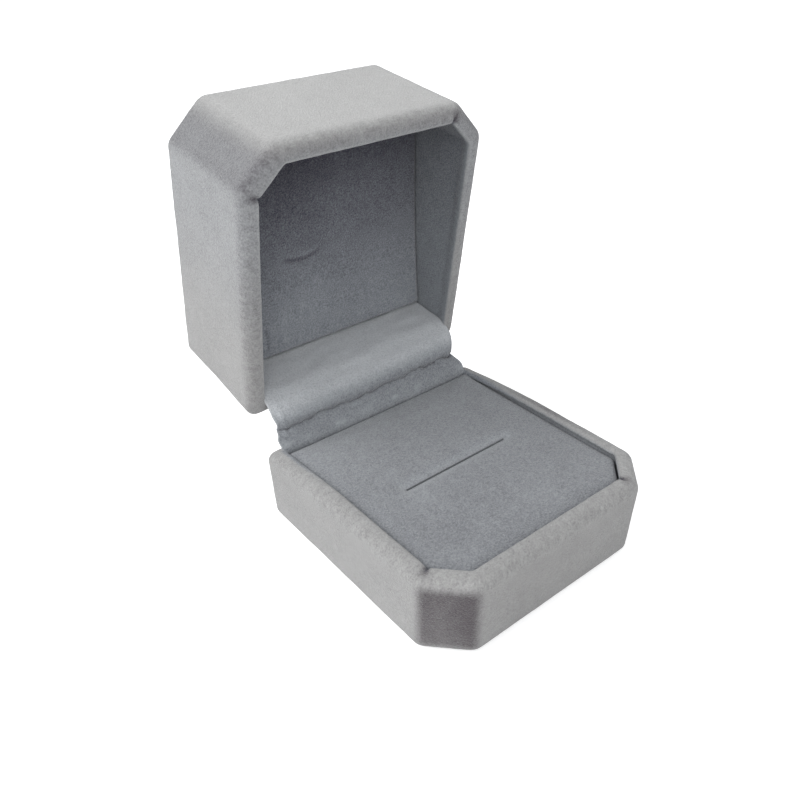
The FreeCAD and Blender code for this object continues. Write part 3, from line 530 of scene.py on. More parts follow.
def velvet():
    """Short cut pile: its tone follows the painted light and shade, its tufts and brush strokes; a cooler copy
    tints the shade.
    """
    made = bpy.data.materials.get("velvet_pile")
    if made:
        return made
    settings = bpy.context.scene.ringbox_velvet
    tree = Tree("velvet_pile")
    place = tree.place()
    tufts = tree.noise(place, settings.grain, detail=3.0, roughness=0.7)
    clouds = tree.noise(place, 2.6 * MM, detail=3.0)
    broad = tree.noise(place, 14 * MM, detail=1.0)
    strands = tree.stretch(tree.add("ShaderNodeUVMap", uv_map="strands").outputs["UV"], (1.0, 0.55, 1.0))
    strokes = tree.noise(strands, 1.1 * MM, detail=4.0, roughness=0.65)
    nap, brushed, shade_tint_share = (tree.add("ShaderNodeAttribute", attribute_name=name).outputs["Fac"]
                                for name in ("nap", "brushed", "cool"))

    def swing(value, amount):
        return tree.math("MULTIPLY", tree.math("SUBTRACT", value, 0.5), amount)

    # The tone starts from the painted light and shade (and the ceiling's scuffs).
    tone = tree.math("ADD", nap, 0.5)
    contrast = tree.math("ADD", tree.math("MULTIPLY", shade_tint_share, SHADE_TINT_TUFT_SWING), TUFT_SWING)
    contrast = tree.math("MULTIPLY", contrast,
                         tree.math("ADD", tree.math("MULTIPLY", nap, TUFT_GAIN_WITH_PAINTED_LIGHT), 1.0))
    for part in (swing(tufts, contrast), swing(clouds, CLOUD_SWING), swing(broad, BROAD_SWING),
                 tree.math("MULTIPLY", swing(strokes, STROKE_SWING), brushed)):
        tone = tree.math("ADD", tone, part)
    warm = tree.ramp(tone, ((0.0, settings.darkest), (0.5, settings.middle), (1.0, settings.lightest)))
    cool = tree.ramp(tone, ((0.0, settings.shade_tint_darkest), (0.5, settings.shade_tint_middle),
                            (1.0, settings.shade_tint_lightest)))
    # Mix in the cooler colours as far as the painted shade is tinted.
    mix = tree.add("ShaderNodeMix", data_type="RGBA")
    tree.link(shade_tint_share, mix.inputs["Factor"])
    tree.link(warm, mix.inputs["A"])
    tree.link(cool, mix.inputs["B"])
    tree.feed("Base Color", mix.outputs["Result"])
    height = tree.math("ADD", tufts, tree.math("MULTIPLY", tree.math("MULTIPLY", strokes, brushed), 0.25))
    tree.bump(height, 1.0, 0.35 * MM)
    tree.set(Roughness=0.95, Specular_IOR_Level=0.12, Sheen_Weight=settings.sheen, Sheen_Roughness=0.4)
    return tree.material


# Name, darker and lighter colour, grain, roughness and bump of each plain material.
PLAIN_MATERIALS = (
    ("moulded_shell", (0.018, 0.02, 0.023), (0.03, 0.032, 0.036), 0.2 * MM, 0.6, 0.3),
    ("grey_board", (0.24, 0.22, 0.20), (0.36, 0.34, 0.31), 0.35 * MM, 0.9, 0.5),
    ("under_paper", (0.10, 0.105, 0.12), (0.16, 0.165, 0.185), 0.3 * MM, 0.85, 0.4),
)
STEEL_DARK = (0.50, 0.50, 0.50)
STEEL_LIGHT = (0.68, 0.68, 0.67)


def steel_material():
    """Rolled steel with a fine grain along the barrel."""
    tree = Tree("hinge_steel")
    place = tree.place()
    grain = tree.noise(tree.stretch(place, (0.08, 1.0, 1.0)), 0.12 * MM, detail=3.0)
    blotches = tree.noise(place, 2.5 * MM, detail=3.0)
    tree.feed("Base Color", tree.ramp(blotches, ((0.3, STEEL_DARK), (0.7, STEEL_LIGHT))))
    tree.feed("Roughness", tree.math("ADD", tree.math("MULTIPLY", grain, 0.25), 0.22))
    tree.bump(grain, 0.15, 0.02 * MM)
    tree.set(Metallic=1.0)
    return tree.material


def plain_material(name, dark, light, grain, roughness, bump):
    """Matte stuff with a fine grain: moulded plastic, board or paper."""
    tree = Tree(name)
    speckle = tree.noise(tree.place(), grain, detail=4.0, roughness=0.6)
    tree.feed("Base Color", tree.ramp(speckle, ((0.3, dark), (0.7, light))))
    tree.bump(speckle, bump, 0.05 * MM)
    tree.set(Roughness=roughness, Specular_IOR_Level=0.3)
    return tree.material


# ---- base and lid covers

def dart_lines(case):
    """Where the velvet is gathered inside a rim, and which way: the left end of its left cut and the
    front end of its right one."""
    inner = case.rim_width
    side = HALF_WIDTH - inner
    leg = case.corner_cut - inner * CUT_SHARE
    lean = math.radians(180 / 8)
    return [(Vector((-side, FRONT + inner + leg)), Vector((-math.cos(lean), -math.sin(lean)))),
            (Vector((side - leg, FRONT + inner)), Vector((math.sin(lean), -math.cos(lean))))]


def dart_depth_at(case, co):
    """How deep the darts are at a place of the plan."""
    depth = 0.0
    for start, way in dart_lines(case):
        offset = co.xy - start
        along = offset.dot(way)
        off = (offset - way * along).length
        fade = 1 - smoothstep(0.3 * MM, case.dart_reach, along)
        if along > -0.6 * MM:
            width = case.dart_width * (1 + max(along, 0) / (1.2 * MM))
            depth += case.dart_depth * bell(off, width) * fade
    return depth


def dart_share(case, co):
    """1 at the bottom of the darts and 0 away from them."""
    return min(1.0, dart_depth_at(case, co) / case.dart_depth)


def rim_profile(case, crest, up, tuck):
    """Outer rounding, crest and roll of a rim, back to the wall over a length tuck; up is -1 for the lid."""
    run, height, width = case.rim_run, case.rim_height, case.rim_width
    lip = width - run
    outer = arc_stations((run, crest - up * height), (run, up * height), 180, 90, 12)
    inner = arc_stations((run, crest - up * lip), (lip, up * lip), 90, 0, 5)
    under = [(case.wall + (width - case.wall) * part, crest - up * (lip + tuck * (1 - part)))
             for part in (0.92, 0.7, 0.35, 0.1, 0)]
    return outer + inner + under


def rim_back(case, crest, up):
    """The hidden back of the velvet over a rim, from the inside out."""
    back = case.skin
    return [(case.wall - back, crest - up * 1.6 * MM), (case.rim_run - back, crest - up * 1.0 * MM),
            (case.rim_run / 2, crest - up * 1.3 * MM), (back, crest - up * case.rim_height)]


def straight_rear(case, co, inset):
    """The way back to the wall for a rim's roll at the rear, where the flap passes it."""
    if inset <= case.wall or co.y < REAR - inset - 0.01 * MM:
        return Vector((0, 0, 0))
    side = HALF_WIDTH - inset
    return Vector((0, inset - case.wall, 0)) * smoothstep(side, side - 1 * MM, abs(co.x))


def build_base_cover(case):
    skin = Skin(case)
    first = (case.under_turn, UNDER)
    foot = case.foot_round
    wall_top = CREST - case.rim_height
    skin.start_ring(first)
    skin.grow(line_stations(first, (foot, UNDER), 1.5 * WALL_STEP))
    skin.grow(arc_stations((foot, UNDER + foot), (foot, -foot), 90, 180, 5))
    skin.grow(line_stations((0, UNDER + foot), (0, wall_top), WALL_STEP))
    skin.grow(rim_profile(case, CREST, 1, 0.7 * MM))
    skin.grow(line_stations(skin.last, (case.wall, CREST - case.base_turn), WALL_STEP))
    back = case.skin
    skin.grow([(case.wall - back, CREST - case.base_turn), *rim_back(case, CREST, 1), (back, UNDER + foot),
               (foot + back, UNDER + back), (case.under_turn, UNDER + back)], shown=0.0)
    skin.close_ring()

    def settle(co, inset):
        lean = case.foot_inset * (1 - (co.z - UNDER) / (CREST - UNDER))
        inwards = Vector((-co.x / HALF_WIDTH, -co.y / HALF_WIDTH)) * lean
        back_way = min(1.0, max(0.0, (co.y - (REAR - case.sag_length)) / case.sag_length))
        sag = case.rear_sag * back_way ** 1.6 * smoothstep(0.4 * CREST, 0.95 * CREST, co.z)
        dart = dart_depth_at(case, co) * smoothstep(CREST - 3 * MM, CREST - 1 * MM, co.z)
        return Vector((*inwards, -sag - dart)) + straight_rear(case, co, inset)

    return skin.dress(settle)


def build_lid_cover(case):
    skin = Skin(case)
    top = case.top_round
    wall_low = LID_CREST + case.rim_height
    skin.start_panel((top, LID_TOP))
    skin.grow(arc_stations((top, LID_TOP - top), (top, top), 90, 180, 5))
    skin.grow(line_stations((0, LID_TOP - top), (0, wall_low), WALL_STEP))
    skin.grow(rim_profile(case, LID_CREST, -1, 2.4 * MM))
    skin.grow(line_stations(skin.last, (case.wall, LID_CREST + case.lid_turn), WALL_STEP))
    back = case.skin
    skin.grow([(case.wall - back, LID_CREST + case.lid_turn), *rim_back(case, LID_CREST, -1),
               (back, LID_TOP - top), (top + back, LID_TOP - back)], shown=0.0)
    skin.close_panel()

    def settle(co, inset):
        rise = co.z - LID_CREST
        dart = dart_depth_at(case, co) * (1 - smoothstep(1 * MM, 3 * MM, rise))
        side = smoothstep(HALF_WIDTH - 9 * MM, HALF_WIDTH - 3 * MM, abs(co.x))
        back = smoothstep(REAR - 3.2 * MM, REAR - 0.5 * MM, co.y)
        low = smoothstep(-3 * MM, 2 * MM, rise) * smoothstep(16 * MM, 2 * MM, rise)
        bulge = case.gather * side * back * low
        return Vector((0, bulge, dart)) + straight_rear(case, co, inset)

    return skin.dress(settle)


def cut_share(case, co):
    """1 in the middle of a cut corner, fading to nothing at its two ends."""
    along = abs(HALF_WIDTH - abs(co.x) - co.y + FRONT) / math.sqrt(2)
    return smoothstep(-1.1 * MM, 1.3 * MM, case.corner_cut / math.sqrt(2) - along)


def inside_share(case, depth, drop):
    """0 outside a rim and on its crest, 1 on the velvet inside it."""
    return smoothstep(case.rim_run - 0.5 * MM, case.rim_run, depth) * smoothstep(0.15 * MM, 0.9 * MM, drop)


def rim_share(case, depth, drop):
    """1 on the rounding of a rim, fading to nothing down its outside and inside."""
    if depth > case.rim_run + 0.1 * MM:
        return 0.35 * smoothstep(4 * MM, 0, drop)
    return 1 - smoothstep(case.rim_height * 0.6, case.rim_height * 1.6, drop)


# Play beside the hinge leaf and depth of the notch in the base rim that the leaf passes through.
NOTCH_PLAY = 0.5 * MM
NOTCH_DEPTH = 2.3 * MM


class RINGBOX_OT_base_cover(bpy.types.Operator):
    """Cover the base shell in velvet"""
    bl_idname = "ringbox.base_cover"
    bl_label = "Base Cover"

    def execute(self, context):
        case = context.scene.ringbox_case
        item = finish_mesh("base_cover", build_base_cover(case))
        notch_low, notch_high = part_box("hinge_base_leaf")
        cut_with_box(item, (notch_low.x - NOTCH_PLAY, notch_low.y - 1 * MM, CREST - NOTCH_DEPTH),
                     (notch_high.x + NOTCH_PLAY, REAR + 2 * MM, CREST + 1 * MM))
        # Painted light and shade, brush strokes on the rims and the cooler tint of the painted shade inside the
        # rim.
        paint_pile(item, lambda co: self.nap(case, co),
                   lambda co: rim_share(case, inset_at(case, co), CREST - co.z),
                   lambda co: self.inside(case, co))
        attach(item, "base")
        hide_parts("base_velvet")
        return {"FINISHED"}

    def inside(self, case, co):
        """1 on the velvet inside the base rim and 0 outside it."""
        return inside_share(case, inset_at(case, co), CREST - co.z) if co.z > CREST / 2 else 0.0

    def nap(self, case, co):
        """Painted shade: soft patches on the cuts, the front, the left side, inside, the right rim and the darts.
        """
        depth = inset_at(case, co)
        drop = CREST - co.z
        upright = smoothstep(UNDER, UNDER + 2.2 * MM, co.z) * smoothstep(1.0 * MM, 3.2 * MM, drop)
        patch = cut_share(case, co) * upright * smoothstep(2 * MM, 0, depth)
        patch *= PAINTED_LIGHT_AND_SCUFFS["left_cut"] if co.x < 0 else PAINTED_LIGHT_AND_SCUFFS["right_cut"]
        rim = rim_share(case, depth, drop)
        front = smoothstep(0.3, 0.9, (FRONT + case.corner_cut - co.y) / case.corner_cut) * (1 - 0.5 * rim)
        left = smoothstep(3 * MM - HALF_WIDTH, -HALF_WIDTH, co.x)
        # Painted shade along the middle of the right rim's rounding.
        rim_middle_shade = 0.0
        if co.x > 0:
            rim_middle_shade = bell(co.y - 1 * MM, 11 * MM) * rim * smoothstep(3.5 * MM, 2.2 * MM, depth)
        # Painted shade in the gathered creases.
        dart = dart_share(case, co) * smoothstep(4 * MM, 2 * MM, drop)
        return (BASE_TONE - PAINTED_LIGHT_AND_SCUFFS["base_left"] * left - patch
                - PAINTED_LIGHT_AND_SCUFFS["base_inside"] * inside_share(case, depth, drop)
                - PAINTED_LIGHT_AND_SCUFFS["base_front"] * front - PAINTED_LIGHT_AND_SCUFFS["right_rim_shade"] * rim_middle_shade - PAINTED_LIGHT_AND_SCUFFS["dart"] * dart)


class RINGBOX_OT_lid_cover(bpy.types.Operator):
    """Cover the lid shell in velvet"""
    bl_idname = "ringbox.lid_cover"
    bl_label = "Lid Cover"

    def execute(self, context):
        case = context.scene.ringbox_case
        item = finish_mesh("lid_cover", build_lid_cover(case))
        # Painted light and shade, brush strokes on the rims, and the cooler tint of painted shade inside and
        # partly on the sides.
        paint_pile(item, lambda co: self.nap(case, co),
                   lambda co: rim_share(case, inset_at(case, co), co.z - LID_CREST),
                   lambda co: max(self.inside(case, co), 0.4 * self.side_front(co)))
        item.data.transform(OPEN)
        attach(item, "lid")
        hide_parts("lid_velvet")
        return {"FINISHED"}

    def inside(self, case, co):
        """1 on the velvet inside the lid and 0 outside it."""
        under_crown = 1.0 if co.z < LID_TOP - case.top_round - case.skin else 0.0
        return inside_share(case, inset_at(case, co), co.z - LID_CREST) * under_crown

    def side_front(self, co):
        """1 on the front of the lid's sides, fading to nothing on its front wall and its rear."""
        return smoothstep(REAR - 10 * MM, FRONT + 12 * MM, co.y) * smoothstep(FRONT, FRONT + 4 * MM, co.y)

    def nap(self, case, co):
        """Painted light on the front wall and the rim's lip; painted shade on the rim, cuts, sides, inside and
        darts.
        """
        depth = inset_at(case, co)
        rise = co.z - LID_CREST
        inner = self.inside(case, co) * smoothstep(0.3 * MM, 3.0 * MM, rise)
        forward = smoothstep(REAR, FRONT, co.y)
        # A painted highlight on the lip of the rim.
        lip = bell(depth - case.rim_width, 0.5 * MM) * (1 - smoothstep(0.5 * MM, 2 * MM, rise))
        front_wall = smoothstep(2 * MM, 0, depth) * smoothstep(FRONT + 3 * MM, FRONT - 1 * MM, co.y)
        cut = cut_share(case, co) * smoothstep(2 * MM, 0, depth)
        # Painted shade in the gathered creases.
        dart = dart_share(case, co) * smoothstep(5 * MM, 2 * MM, rise)
        rim = rim_share(case, depth, rise) * (1 + smoothstep(FRONT + 8 * MM, FRONT, co.y))
        return (LID_TONE + PAINTED_LIGHT_AND_SCUFFS["lid_front"] * front_wall - PAINTED_LIGHT_AND_SCUFFS["lid_cut"] * cut
                - PAINTED_LIGHT_AND_SCUFFS["lid_side"] * self.side_front(co) - PAINTED_LIGHT_AND_SCUFFS["lid_rim"] * rim + PAINTED_LIGHT_AND_SCUFFS["lid_lip"] * lip
                - (PAINTED_LIGHT_AND_SCUFFS["lid_inside"] + PAINTED_LIGHT_AND_SCUFFS["lid_inside_front"] * forward) * inner - PAINTED_LIGHT_AND_SCUFFS["dart"] * dart)


# ---- pads

# Faint arcs rubbed into the ceiling's pile: centre x and y, radius, first and last angle.
SCUFFS = ((-6.8 * MM, -8.1 * MM, 12 * MM, 64, 116), (-23 * MM, 19 * MM, 6 * MM, -30, 30))
# The cloth is simulated at a larger scale, over so many frames.
SIM_SCALE = 10.0
SIM_FRAMES = 20
# The cloth of each pad: the size of its mesh, how far it may swell, and its pressure.
PAD_CLOTH = (0.55 * MM, 0.25 * MM, 3.0)
CEILING_CLOTH = (0.5 * MM, 0.15 * MM, 2.0)


def swell(item, voxel, cap, pressure):
    """Blow a closed pad up a little with cloth, enlarged, and keep each point near its start."""
    mesh = item.data
    mesh.transform(Matrix.Scale(SIM_SCALE, 4))
    remesh = item.modifiers.new("remesh", "REMESH")
    remesh.mode = "VOXEL"
    remesh.voxel_size = voxel * SIM_SCALE
    bake_modifiers(item)
    start = [vert.co.copy() for vert in item.data.vertices]
    cloth = item.modifiers.new("cloth", "CLOTH")
    cloth.settings.use_pressure = True
    cloth.settings.uniform_pressure_force = pressure
    cloth.settings.effector_weights.gravity = 0
    cloth.settings.quality = 5
    scene = bpy.context.scene
    for step in range(1, SIM_FRAMES + 1):
        scene.frame_set(step)
    bake_modifiers(item)
    scene.frame_set(1)
    for vert, home in zip(item.data.vertices, start):
        moved = vert.co - home
        if moved.length > cap * SIM_SCALE:
            vert.co = home + moved.normalized() * cap * SIM_SCALE
    item.data.transform(Matrix.Scale(1 / SIM_SCALE, 4))
    item.data.shade_smooth()


def make_pad(name, case, plan, heights, edge, steps, cloth):
    """A closed pad from its face, rounded at the edge, to its foot; plan holds its side and rear insets."""
    side, rear = plan
    face, foot = heights
    drop = math.copysign(edge, face - foot)
    skin = Skin(case)
    skin.start_panel((side + edge, face), rear + edge)
    for inset, height in arc_stations((side + edge, face - drop), (edge, drop), 90, 180, steps):
        skin.grow([(inset, height)], rear_inset=rear + inset - side)
    skin.grow(line_stations((side, face - drop), (side, foot), WALL_STEP), rear_inset=rear)
    skin.close_panel()
    item = finish_mesh(name, skin.bm)
    swell(item, *cloth)
    return item


class RINGBOX_OT_ring_pad(bpy.types.Operator):
    """Make the velvet ring pad with its slit"""
    bl_idname = "ringbox.ring_pad"
    bl_label = "Ring Pad"

    def execute(self, context):
        case = context.scene.ringbox_case
        pad = context.scene.ringbox_pad
        swelling = PAD_CLOTH[1]
        plan = (HALF_WIDTH - PAD_HIGH.x + swelling, REAR - PAD_HIGH.y + swelling - pad.rear_press)
        top = PAD_HIGH.z - swelling
        item = make_pad("ring_pad_cushion", case, plan, (top, FOAM_LOW.z + swelling), pad.edge_round, 5,
                        PAD_CLOTH)
        for vert in item.data.vertices:
            if vert.co.z >= top - 3 * MM:
                vert.co.z -= pad.dip_depth * bell(self.from_slit(pad, vert.co), pad.dip_width)
        half = pad.slit_length / 2
        cut_with_box(item, (-half, -pad.slit_width / 2, PAD_HIGH.z - pad.slit_depth),
                     (half, pad.slit_width / 2, PAD_HIGH.z + 1 * MM))
        # Painted light and shade, no brush strokes, and mostly the cooler tint of painted shade.
        paint_pile(item, lambda co: self.nap(pad, co), lambda co: 0.0, lambda co: 0.75)
        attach(item, "base")
        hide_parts("ring_pad_velvet", "ring_pad_foam")
        return {"FINISHED"}

    def from_slit(self, pad, co):
        """How far a place of the pad lies from the line of the slit."""
        return math.hypot(co.y, max(0.0, abs(co.x) - pad.slit_length / 2))

    def nap(self, pad, co):
        """A painted highlight on the lips of the slit; painted shade all over, more at the front and side edges.
        """
        lips = bell(self.from_slit(pad, co) - 1.0 * MM, 0.6 * MM)
        edge = smoothstep(2.0 * MM, 0.2 * MM, PAD_HIGH.x - abs(co.x))
        front = smoothstep(0, 1, (PAD_HIGH.y - co.y) / (PAD_HIGH.y - PAD_LOW.y))
        return PAINTED_LIGHT_AND_SCUFFS["slit_lips"] * lips - PAINTED_LIGHT_AND_SCUFFS["pad"] - PAINTED_LIGHT_AND_SCUFFS["pad_front"] * front - PAINTED_LIGHT_AND_SCUFFS["pad_edge"] * edge


class RINGBOX_OT_ceiling(bpy.types.Operator):
    """Make the padded velvet ceiling of the lid"""
    bl_idname = "ringbox.ceiling"
    bl_label = "Ceiling"

    def execute(self, context):
        case = context.scene.ringbox_case
        ceiling = context.scene.ringbox_ceiling
        swelling = CEILING_CLOTH[1]
        plan = (HALF_WIDTH - CEILING_HIGH.x + swelling, REAR - CEILING_HIGH.y + swelling)
        item = make_pad("ceiling_pad", case, plan, (0.0, ceiling.thickness), ceiling.edge_round, 4,
                        CEILING_CLOTH)
        for vert in item.data.vertices:
            way = (vert.co.y - CEILING_LOW.y) / (CEILING_HIGH.y - CEILING_LOW.y)
            slope = ceiling.front_rise + (ceiling.rear_rise - ceiling.front_rise) * way
            vert.co.z += LID_CREST + slope + ceiling.bow * 4 * way * (1 - way)
        # Painted shade and scuffs, no brush strokes, and all the cooler tint of painted shade.
        paint_pile(item, self.nap, lambda co: 0.0, lambda co: 1.0)
        item.data.transform(OPEN)
        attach(item, "lid")
        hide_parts("ceiling_velvet", "ceiling_foam")
        return {"FINISHED"}

    def nap(self, co):
        """Painted shade, deeper towards the front of the lid, with two faint curved scuffs."""
        forward = (CEILING_HIGH.y - co.y) / (CEILING_HIGH.y - CEILING_LOW.y)
        shade = -PAINTED_LIGHT_AND_SCUFFS["ceiling"] - PAINTED_LIGHT_AND_SCUFFS["ceiling_middle"] * smoothstep(0.08, 0.6, forward)
        shade -= PAINTED_LIGHT_AND_SCUFFS["ceiling_front"] * smoothstep(0.5, 1.0, forward)
        for x, y, radius, start, end in SCUFFS:
            away = co.xy - Vector((x, y))
            angle = math.degrees(math.atan2(away.y, away.x))
            if start < angle < end:
                ends = smoothstep(0, 12, angle - start) * smoothstep(0, 12, end - angle)
                off = away.length - radius
                stroke = 0.4 * bell(off + 0.8 * MM, 0.45 * MM) - bell(off, 0.4 * MM)
                shade += ends * stroke * PAINTED_LIGHT_AND_SCUFFS["scuff"]
        return shade


# ---- hinge flap

# The flap's middle line with the lid open, in millimetres back from and above the hinge pin.
FLAP_MARKS = ((-7.6, -6.1), (-7.6, -2.6), (-6.95, -0.8), (-6.0, 0.8), (-5.25, 2.1), (-4.85, 3.7),
              (-3.4, 5.5), (-1.8, 6.9), (0.3, 8.1), (3.8, 8.75), (10.4, 9.6))
# The mark at which the flap folds inwards.
FLAP_FOLD = 4
# Spacing of the flap's mesh along its path, and the number of its columns.
FLAP_STEP = 0.27 * MM
FLAP_COLUMNS = 170


class RINGBOX_OT_flap(bpy.types.Operator):
    """Make the velvet flap that covers the hinge"""
    bl_idname = "ringbox.flap"
    bl_label = "Hinge Flap"

    def execute(self, context):
        flap = context.scene.ringbox_flap
        path = self.path()
        item = self.weave(flap, path)
        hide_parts("hinge_flap")
        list(self.mark(FLAP_FOLD))
        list(self.mark(FLAP_FOLD + 3))
        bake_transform(item)
        return {"FINISHED"}

    def path(self):
        """The flap's middle line in the YZ plane: up behind the pad, into the fold, over into the lid."""
        marks = [Vector((PIN.y + y * MM, PIN.z + z * MM)) for y, z in FLAP_MARKS]
        marks = [2 * marks[0] - marks[1], *marks, 2 * marks[-1] - marks[-2]]
        path = [marks[1]]
        for before, start, end, after in zip(marks, marks[1:], marks[2:], marks[3:]):
            steps = max(2, round((end - start).length / FLAP_STEP))
            for step in range(1, steps + 1):
                t = step / steps
                path.append((start * 2 + (end - before) * t
                             + (2 * before - 5 * start + 4 * end - after) * t ** 2
                             + (3 * start - before - 3 * end + after) * t ** 3) / 2)
        return path

    def relief(self, flap, u, past):
        """Half width, height over the path and shade of the fold, at u across and past the fold."""
        lean = noise.noise(Vector((u * 1.6, 3.1, 4.0)))
        ripple = noise.noise(Vector((u * 6.0, 1.7, 9.0)))
        jitter = noise.noise(Vector((u * 17.0, 5.3, 2.0)))
        line = past + (1.7 * lean + 1.0 * ripple + 0.35 * jitter) * MM
        deep = 0.65 + 0.5 * abs(ripple + jitter)
        crease = flap.crease * bell(line, flap.crease_width) * deep
        crease += flap.crease * bell(line + (1.7 + lean) * MM, flap.crease_width) * max(0.0, ripple + lean)
        # Painted shade in the wavy crease and in the dip below it.
        shade = PAINTED_LIGHT_AND_SCUFFS["flap_crease"] * bell(line, 0.30 * MM) * deep * smoothstep(-0.5, 0.2, ripple + jitter)
        shade += PAINTED_LIGHT_AND_SCUFFS["flap_dip"] * bell(line - 2 * MM, 2.3 * MM) * (0.8 + 0.3 * u)
        puff = 0.22 * MM * noise.noise(Vector((u * 4.0, past / (3 * MM), 1.0)))
        shoulder = 0.2 * MM * bell(past - 4.2 * MM, 2.2 * MM) * (1 + 0.3 * lean)
        ends = bell(abs(u) - 0.93, 0.03) - smoothstep(0.86, 0.94, abs(u))
        rolled = 0.5 * MM * ends * bell(past - 1 * MM, 4 * MM)
        narrow = flap.waist * bell(past - 0.5 * MM, 1.6 * MM)
        narrow += flap.draw_in * max(u, 0) * bell(past - 1 * MM, 3 * MM)
        wide = flap.spread * bell(past + 2.4 * MM, 1.8 * MM)
        return flap.width / 2 - narrow + wide, puff + shoulder + rolled - crease, shade

    def weave(self, flap, path):
        """A double skin along the path, drawn in at the fold and creased along it."""
        bm = bmesh.new()
        along = len(path) - 1
        bmesh.ops.create_grid(bm, x_segments=FLAP_COLUMNS, y_segments=along, size=1.0)
        layer = bm.loops.layers.uv.new("strands")
        # The fold layer carries the painted shade of the crease and of the dip below it.
        fold = bm.verts.layers.float.new("fold")
        ways = ways_along(path)
        fold_at = min(range(along), key=lambda step: (path[step] - self.mark(FLAP_FOLD)).length)
        for vert in bm.verts:
            u, step = vert.co.x, round((vert.co.y + 1) / 2 * along)
            way = (path[min(step + 1, along)] - path[max(step - 1, 0)]).normalized()
            half, height, vert[fold] = self.relief(flap, u, ways[step] - ways[fold_at])
            vert.co = (u * half, *(path[step] + Vector((-way.y, way.x)) * height))
        for face in bm.faces:
            for loop in face.loops:
                loop[layer].uv = (loop.vert.co.x, loop.vert.co.y + loop.vert.co.z)
        item = finish_mesh("hinge_flap_cloth", bm)
        solid = item.modifiers.new("thickness", "SOLIDIFY")
        solid.thickness = flap.sheet
        solid.offset = 0
        bevel = item.modifiers.new("edge", "BEVEL")
        bevel.width = flap.sheet * 0.3
        bevel.segments = 2
        bevel.limit_method = "ANGLE"
        bake_modifiers(item)
        item.data.shade_smooth()
        fold_z = self.mark(FLAP_FOLD).y

        def nap(co):
            """Painted shade below the fold, painted light above it and a painted highlight on the fuzzy foot."""
            above = smoothstep(fold_z - 0.5 * MM, fold_z + 4.5 * MM, co.z)
            fuzz = bell(co.z - PAD_HIGH.z - 0.7 * MM, 0.5 * MM)
            fuzz *= smoothstep(-0.1, 0.5, noise.noise(co / (4 * MM)))
            return PAINTED_LIGHT_AND_SCUFFS["flap_top"] * above - PAINTED_LIGHT_AND_SCUFFS["flap_low"] * (1 - above) + PAINTED_LIGHT_AND_SCUFFS["flap_fuzz"] * fuzz

        # Painted light and shade, brush strokes, and mostly the cooler tint of painted shade.
        paint_pile(item, nap, lambda co: 0.55, lambda co: 0.85)
        # Take the painted shade of the crease and the dip off the painted light.
        for shade, crease in zip(item.data.attributes["nap"].data, item.data.attributes["fold"].data):
            shade.value -= crease.value
        return item

    def mark(self, place):
        """A mark of the flap's path as a point of the YZ plane."""
        return Vector((PIN.y + FLAP_MARKS[place][0] * MM, PIN.z + FLAP_MARKS[place][1] * MM))


# ---- finishes of the carried-over pieces

class RINGBOX_OT_finishes(bpy.types.Operator):
    """Give the shells, cards and hinge their finishes"""
    bl_idname = "ringbox.finishes"
    bl_label = "Finishes"

    def execute(self, context):
        plastic, board, paper = (plain_material(*row) for row in PLAIN_MATERIALS)
        finishes = {"moulded_shell": plastic, "card": board, "foam": board, "under_card": paper,
                    "hinge_steel": steel_material(), "velvet": velvet()}
        for entry in frame["record"]["subparts"]:
            item = frame["nodes"][entry["node"]]
            item.data.materials.clear()
            item.data.materials.append(finishes[entry["material_slot"]])
        return {"FINISHED"}


# ---- stage

FLOOR_HALF = 3.0
# Name, place and width of each light, and the spot they point at.
LIGHTS = (("key", (-0.55, 0.30, 0.60), 0.6), ("fill", (-0.25, -0.60, 0.45), 0.6))
LIT_SPOT = Vector((0, 0.01, 0.03))
AMBIENT_COLOUR = (0.96, 0.98, 1.0, 1.0)


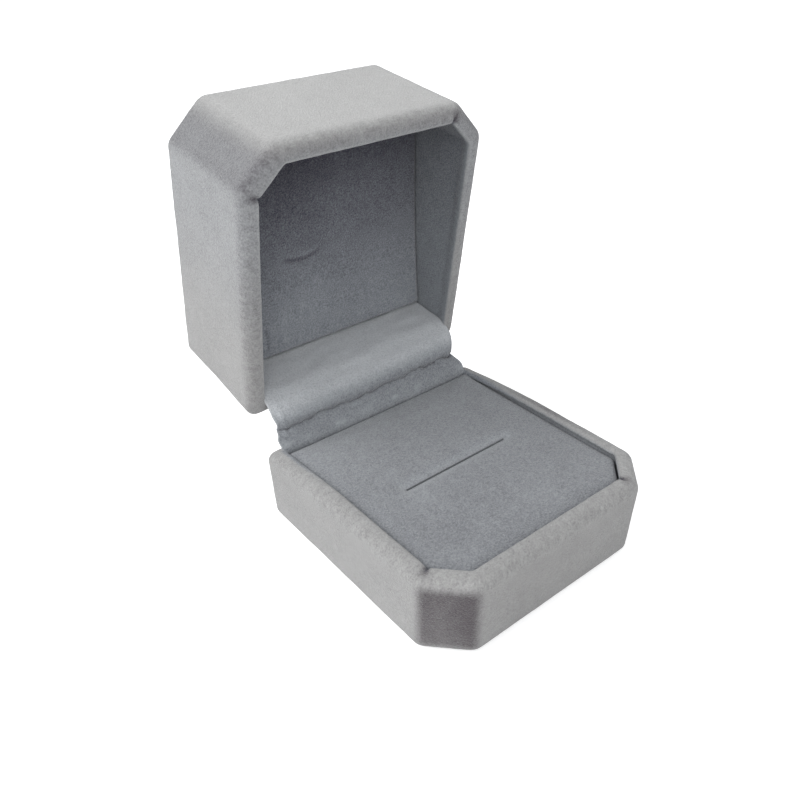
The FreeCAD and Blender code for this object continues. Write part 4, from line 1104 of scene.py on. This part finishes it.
class RINGBOX_OT_stage(bpy.types.Operator):
    """Set up the floor, the light and the camera"""
    bl_idname = "ringbox.stage"
    bl_label = "Stage"

    def execute(self, context):
        settings = context.scene.ringbox_stage
        context.scene.view_settings.view_transform = "Standard"
        self.make_floor(settings)
        self.make_lights(settings)
        self.make_camera(settings)
        return {"FINISHED"}

    def make_floor(self, settings):
        bm = bmesh.new()
        bmesh.ops.create_grid(bm, x_segments=1, y_segments=1, size=FLOOR_HALF)
        tree = Tree("floor_white")
        tree.set(Base_Color=(*settings.floor_colour, 1.0), Roughness=0.9, Specular_IOR_Level=0.1,
                 Emission_Color=(*settings.floor_glow, 1.0))
        tree.feed("Emission Strength", tree.add("ShaderNodeLightPath").outputs["Is Camera Ray"])
        floor = finish_mesh("floor", bm, smooth=False)
        floor.data.materials.append(tree.material)

    def make_lights(self, settings):
        world = bpy.data.worlds.new("studio")
        bpy.context.scene.world = world
        world.use_nodes = True
        nodes, links = world.node_tree.nodes, world.node_tree.links
        ambient = nodes["Background"]
        ambient.inputs["Color"].default_value = AMBIENT_COLOUR
        ambient.inputs["Strength"].default_value = settings.ambient
        backdrop = nodes.new("ShaderNodeBackground")
        backdrop.inputs["Color"].default_value = (1.0, 1.0, 1.0, 1.0)
        seen = nodes.new("ShaderNodeLightPath")
        mix = nodes.new("ShaderNodeMixShader")
        links.new(seen.outputs["Is Camera Ray"], mix.inputs["Fac"])
        links.new(ambient.outputs["Background"], mix.inputs[1])
        links.new(backdrop.outputs["Background"], mix.inputs[2])
        links.new(mix.outputs["Shader"], nodes["World Output"].inputs["Surface"])
        for name, place, width in LIGHTS:
            light = bpy.data.lights.new(name, "AREA")
            light.size = width
            light.energy = getattr(settings, name)
            lamp = bpy.data.objects.new(name, light)
            lamp.location = place
            lamp.rotation_euler = (LIT_SPOT - Vector(place)).to_track_quat("-Z", "Y").to_euler()
            bpy.context.scene.collection.objects.link(lamp)

    def make_camera(self, settings):
        data = bpy.data.cameras.new("camera")
        data.lens = settings.lens
        data.shift_x = settings.shift_x
        data.shift_y = settings.shift_y
        data.clip_start = 0.005
        camera = bpy.data.objects.new("camera", data)
        camera.matrix_world = (Matrix.Translation(settings.eye) @ Matrix.Rotation(settings.azimuth, 4, "Z")
                               @ Matrix.Rotation(math.pi / 2 - settings.elevation, 4, "X")
                               @ Matrix.Rotation(settings.roll, 4, "Z"))
        bpy.context.scene.collection.objects.link(camera)
        bpy.context.scene.camera = camera


# ---- panel, registration and run

STEPS = (RINGBOX_OT_finishes, RINGBOX_OT_base_cover, RINGBOX_OT_lid_cover, RINGBOX_OT_ring_pad,
         RINGBOX_OT_ceiling, RINGBOX_OT_flap, RINGBOX_OT_stage)
GROUPS = {"ringbox_case": RINGBOX_case, "ringbox_velvet": RINGBOX_velvet, "ringbox_pad": RINGBOX_pad,
          "ringbox_ceiling": RINGBOX_ceiling, "ringbox_flap": RINGBOX_flap, "ringbox_stage": RINGBOX_stage}


class RINGBOX_PT_panel(bpy.types.Panel):
    """Pieces and settings of the ring box"""
    bl_label = "Ring Box"
    bl_space_type = "VIEW_3D"
    bl_region_type = "UI"
    bl_category = "Ring Box"

    def draw(self, context):
        for step in STEPS:
            self.layout.operator(step.bl_idname)
        for name, group in GROUPS.items():
            box = self.layout.box()
            for setting in group.__annotations__:
                box.prop(getattr(context.scene, name), setting)


CLASSES = (*GROUPS.values(), *STEPS, RINGBOX_PT_panel)


def register():
    for item in CLASSES:
        bpy.utils.register_class(item)
    for name, group in GROUPS.items():
        setattr(bpy.types.Scene, name, PointerProperty(type=group))


def unregister():
    for name in GROUPS:
        delattr(bpy.types.Scene, name)
    for item in reversed(CLASSES):
        bpy.utils.unregister_class(item)


def main():
    register()
    for step in STEPS:
        group, action = step.bl_idname.split(".")
        getattr(getattr(bpy.ops, group), action)()


if __name__ == "__main__":
    main()
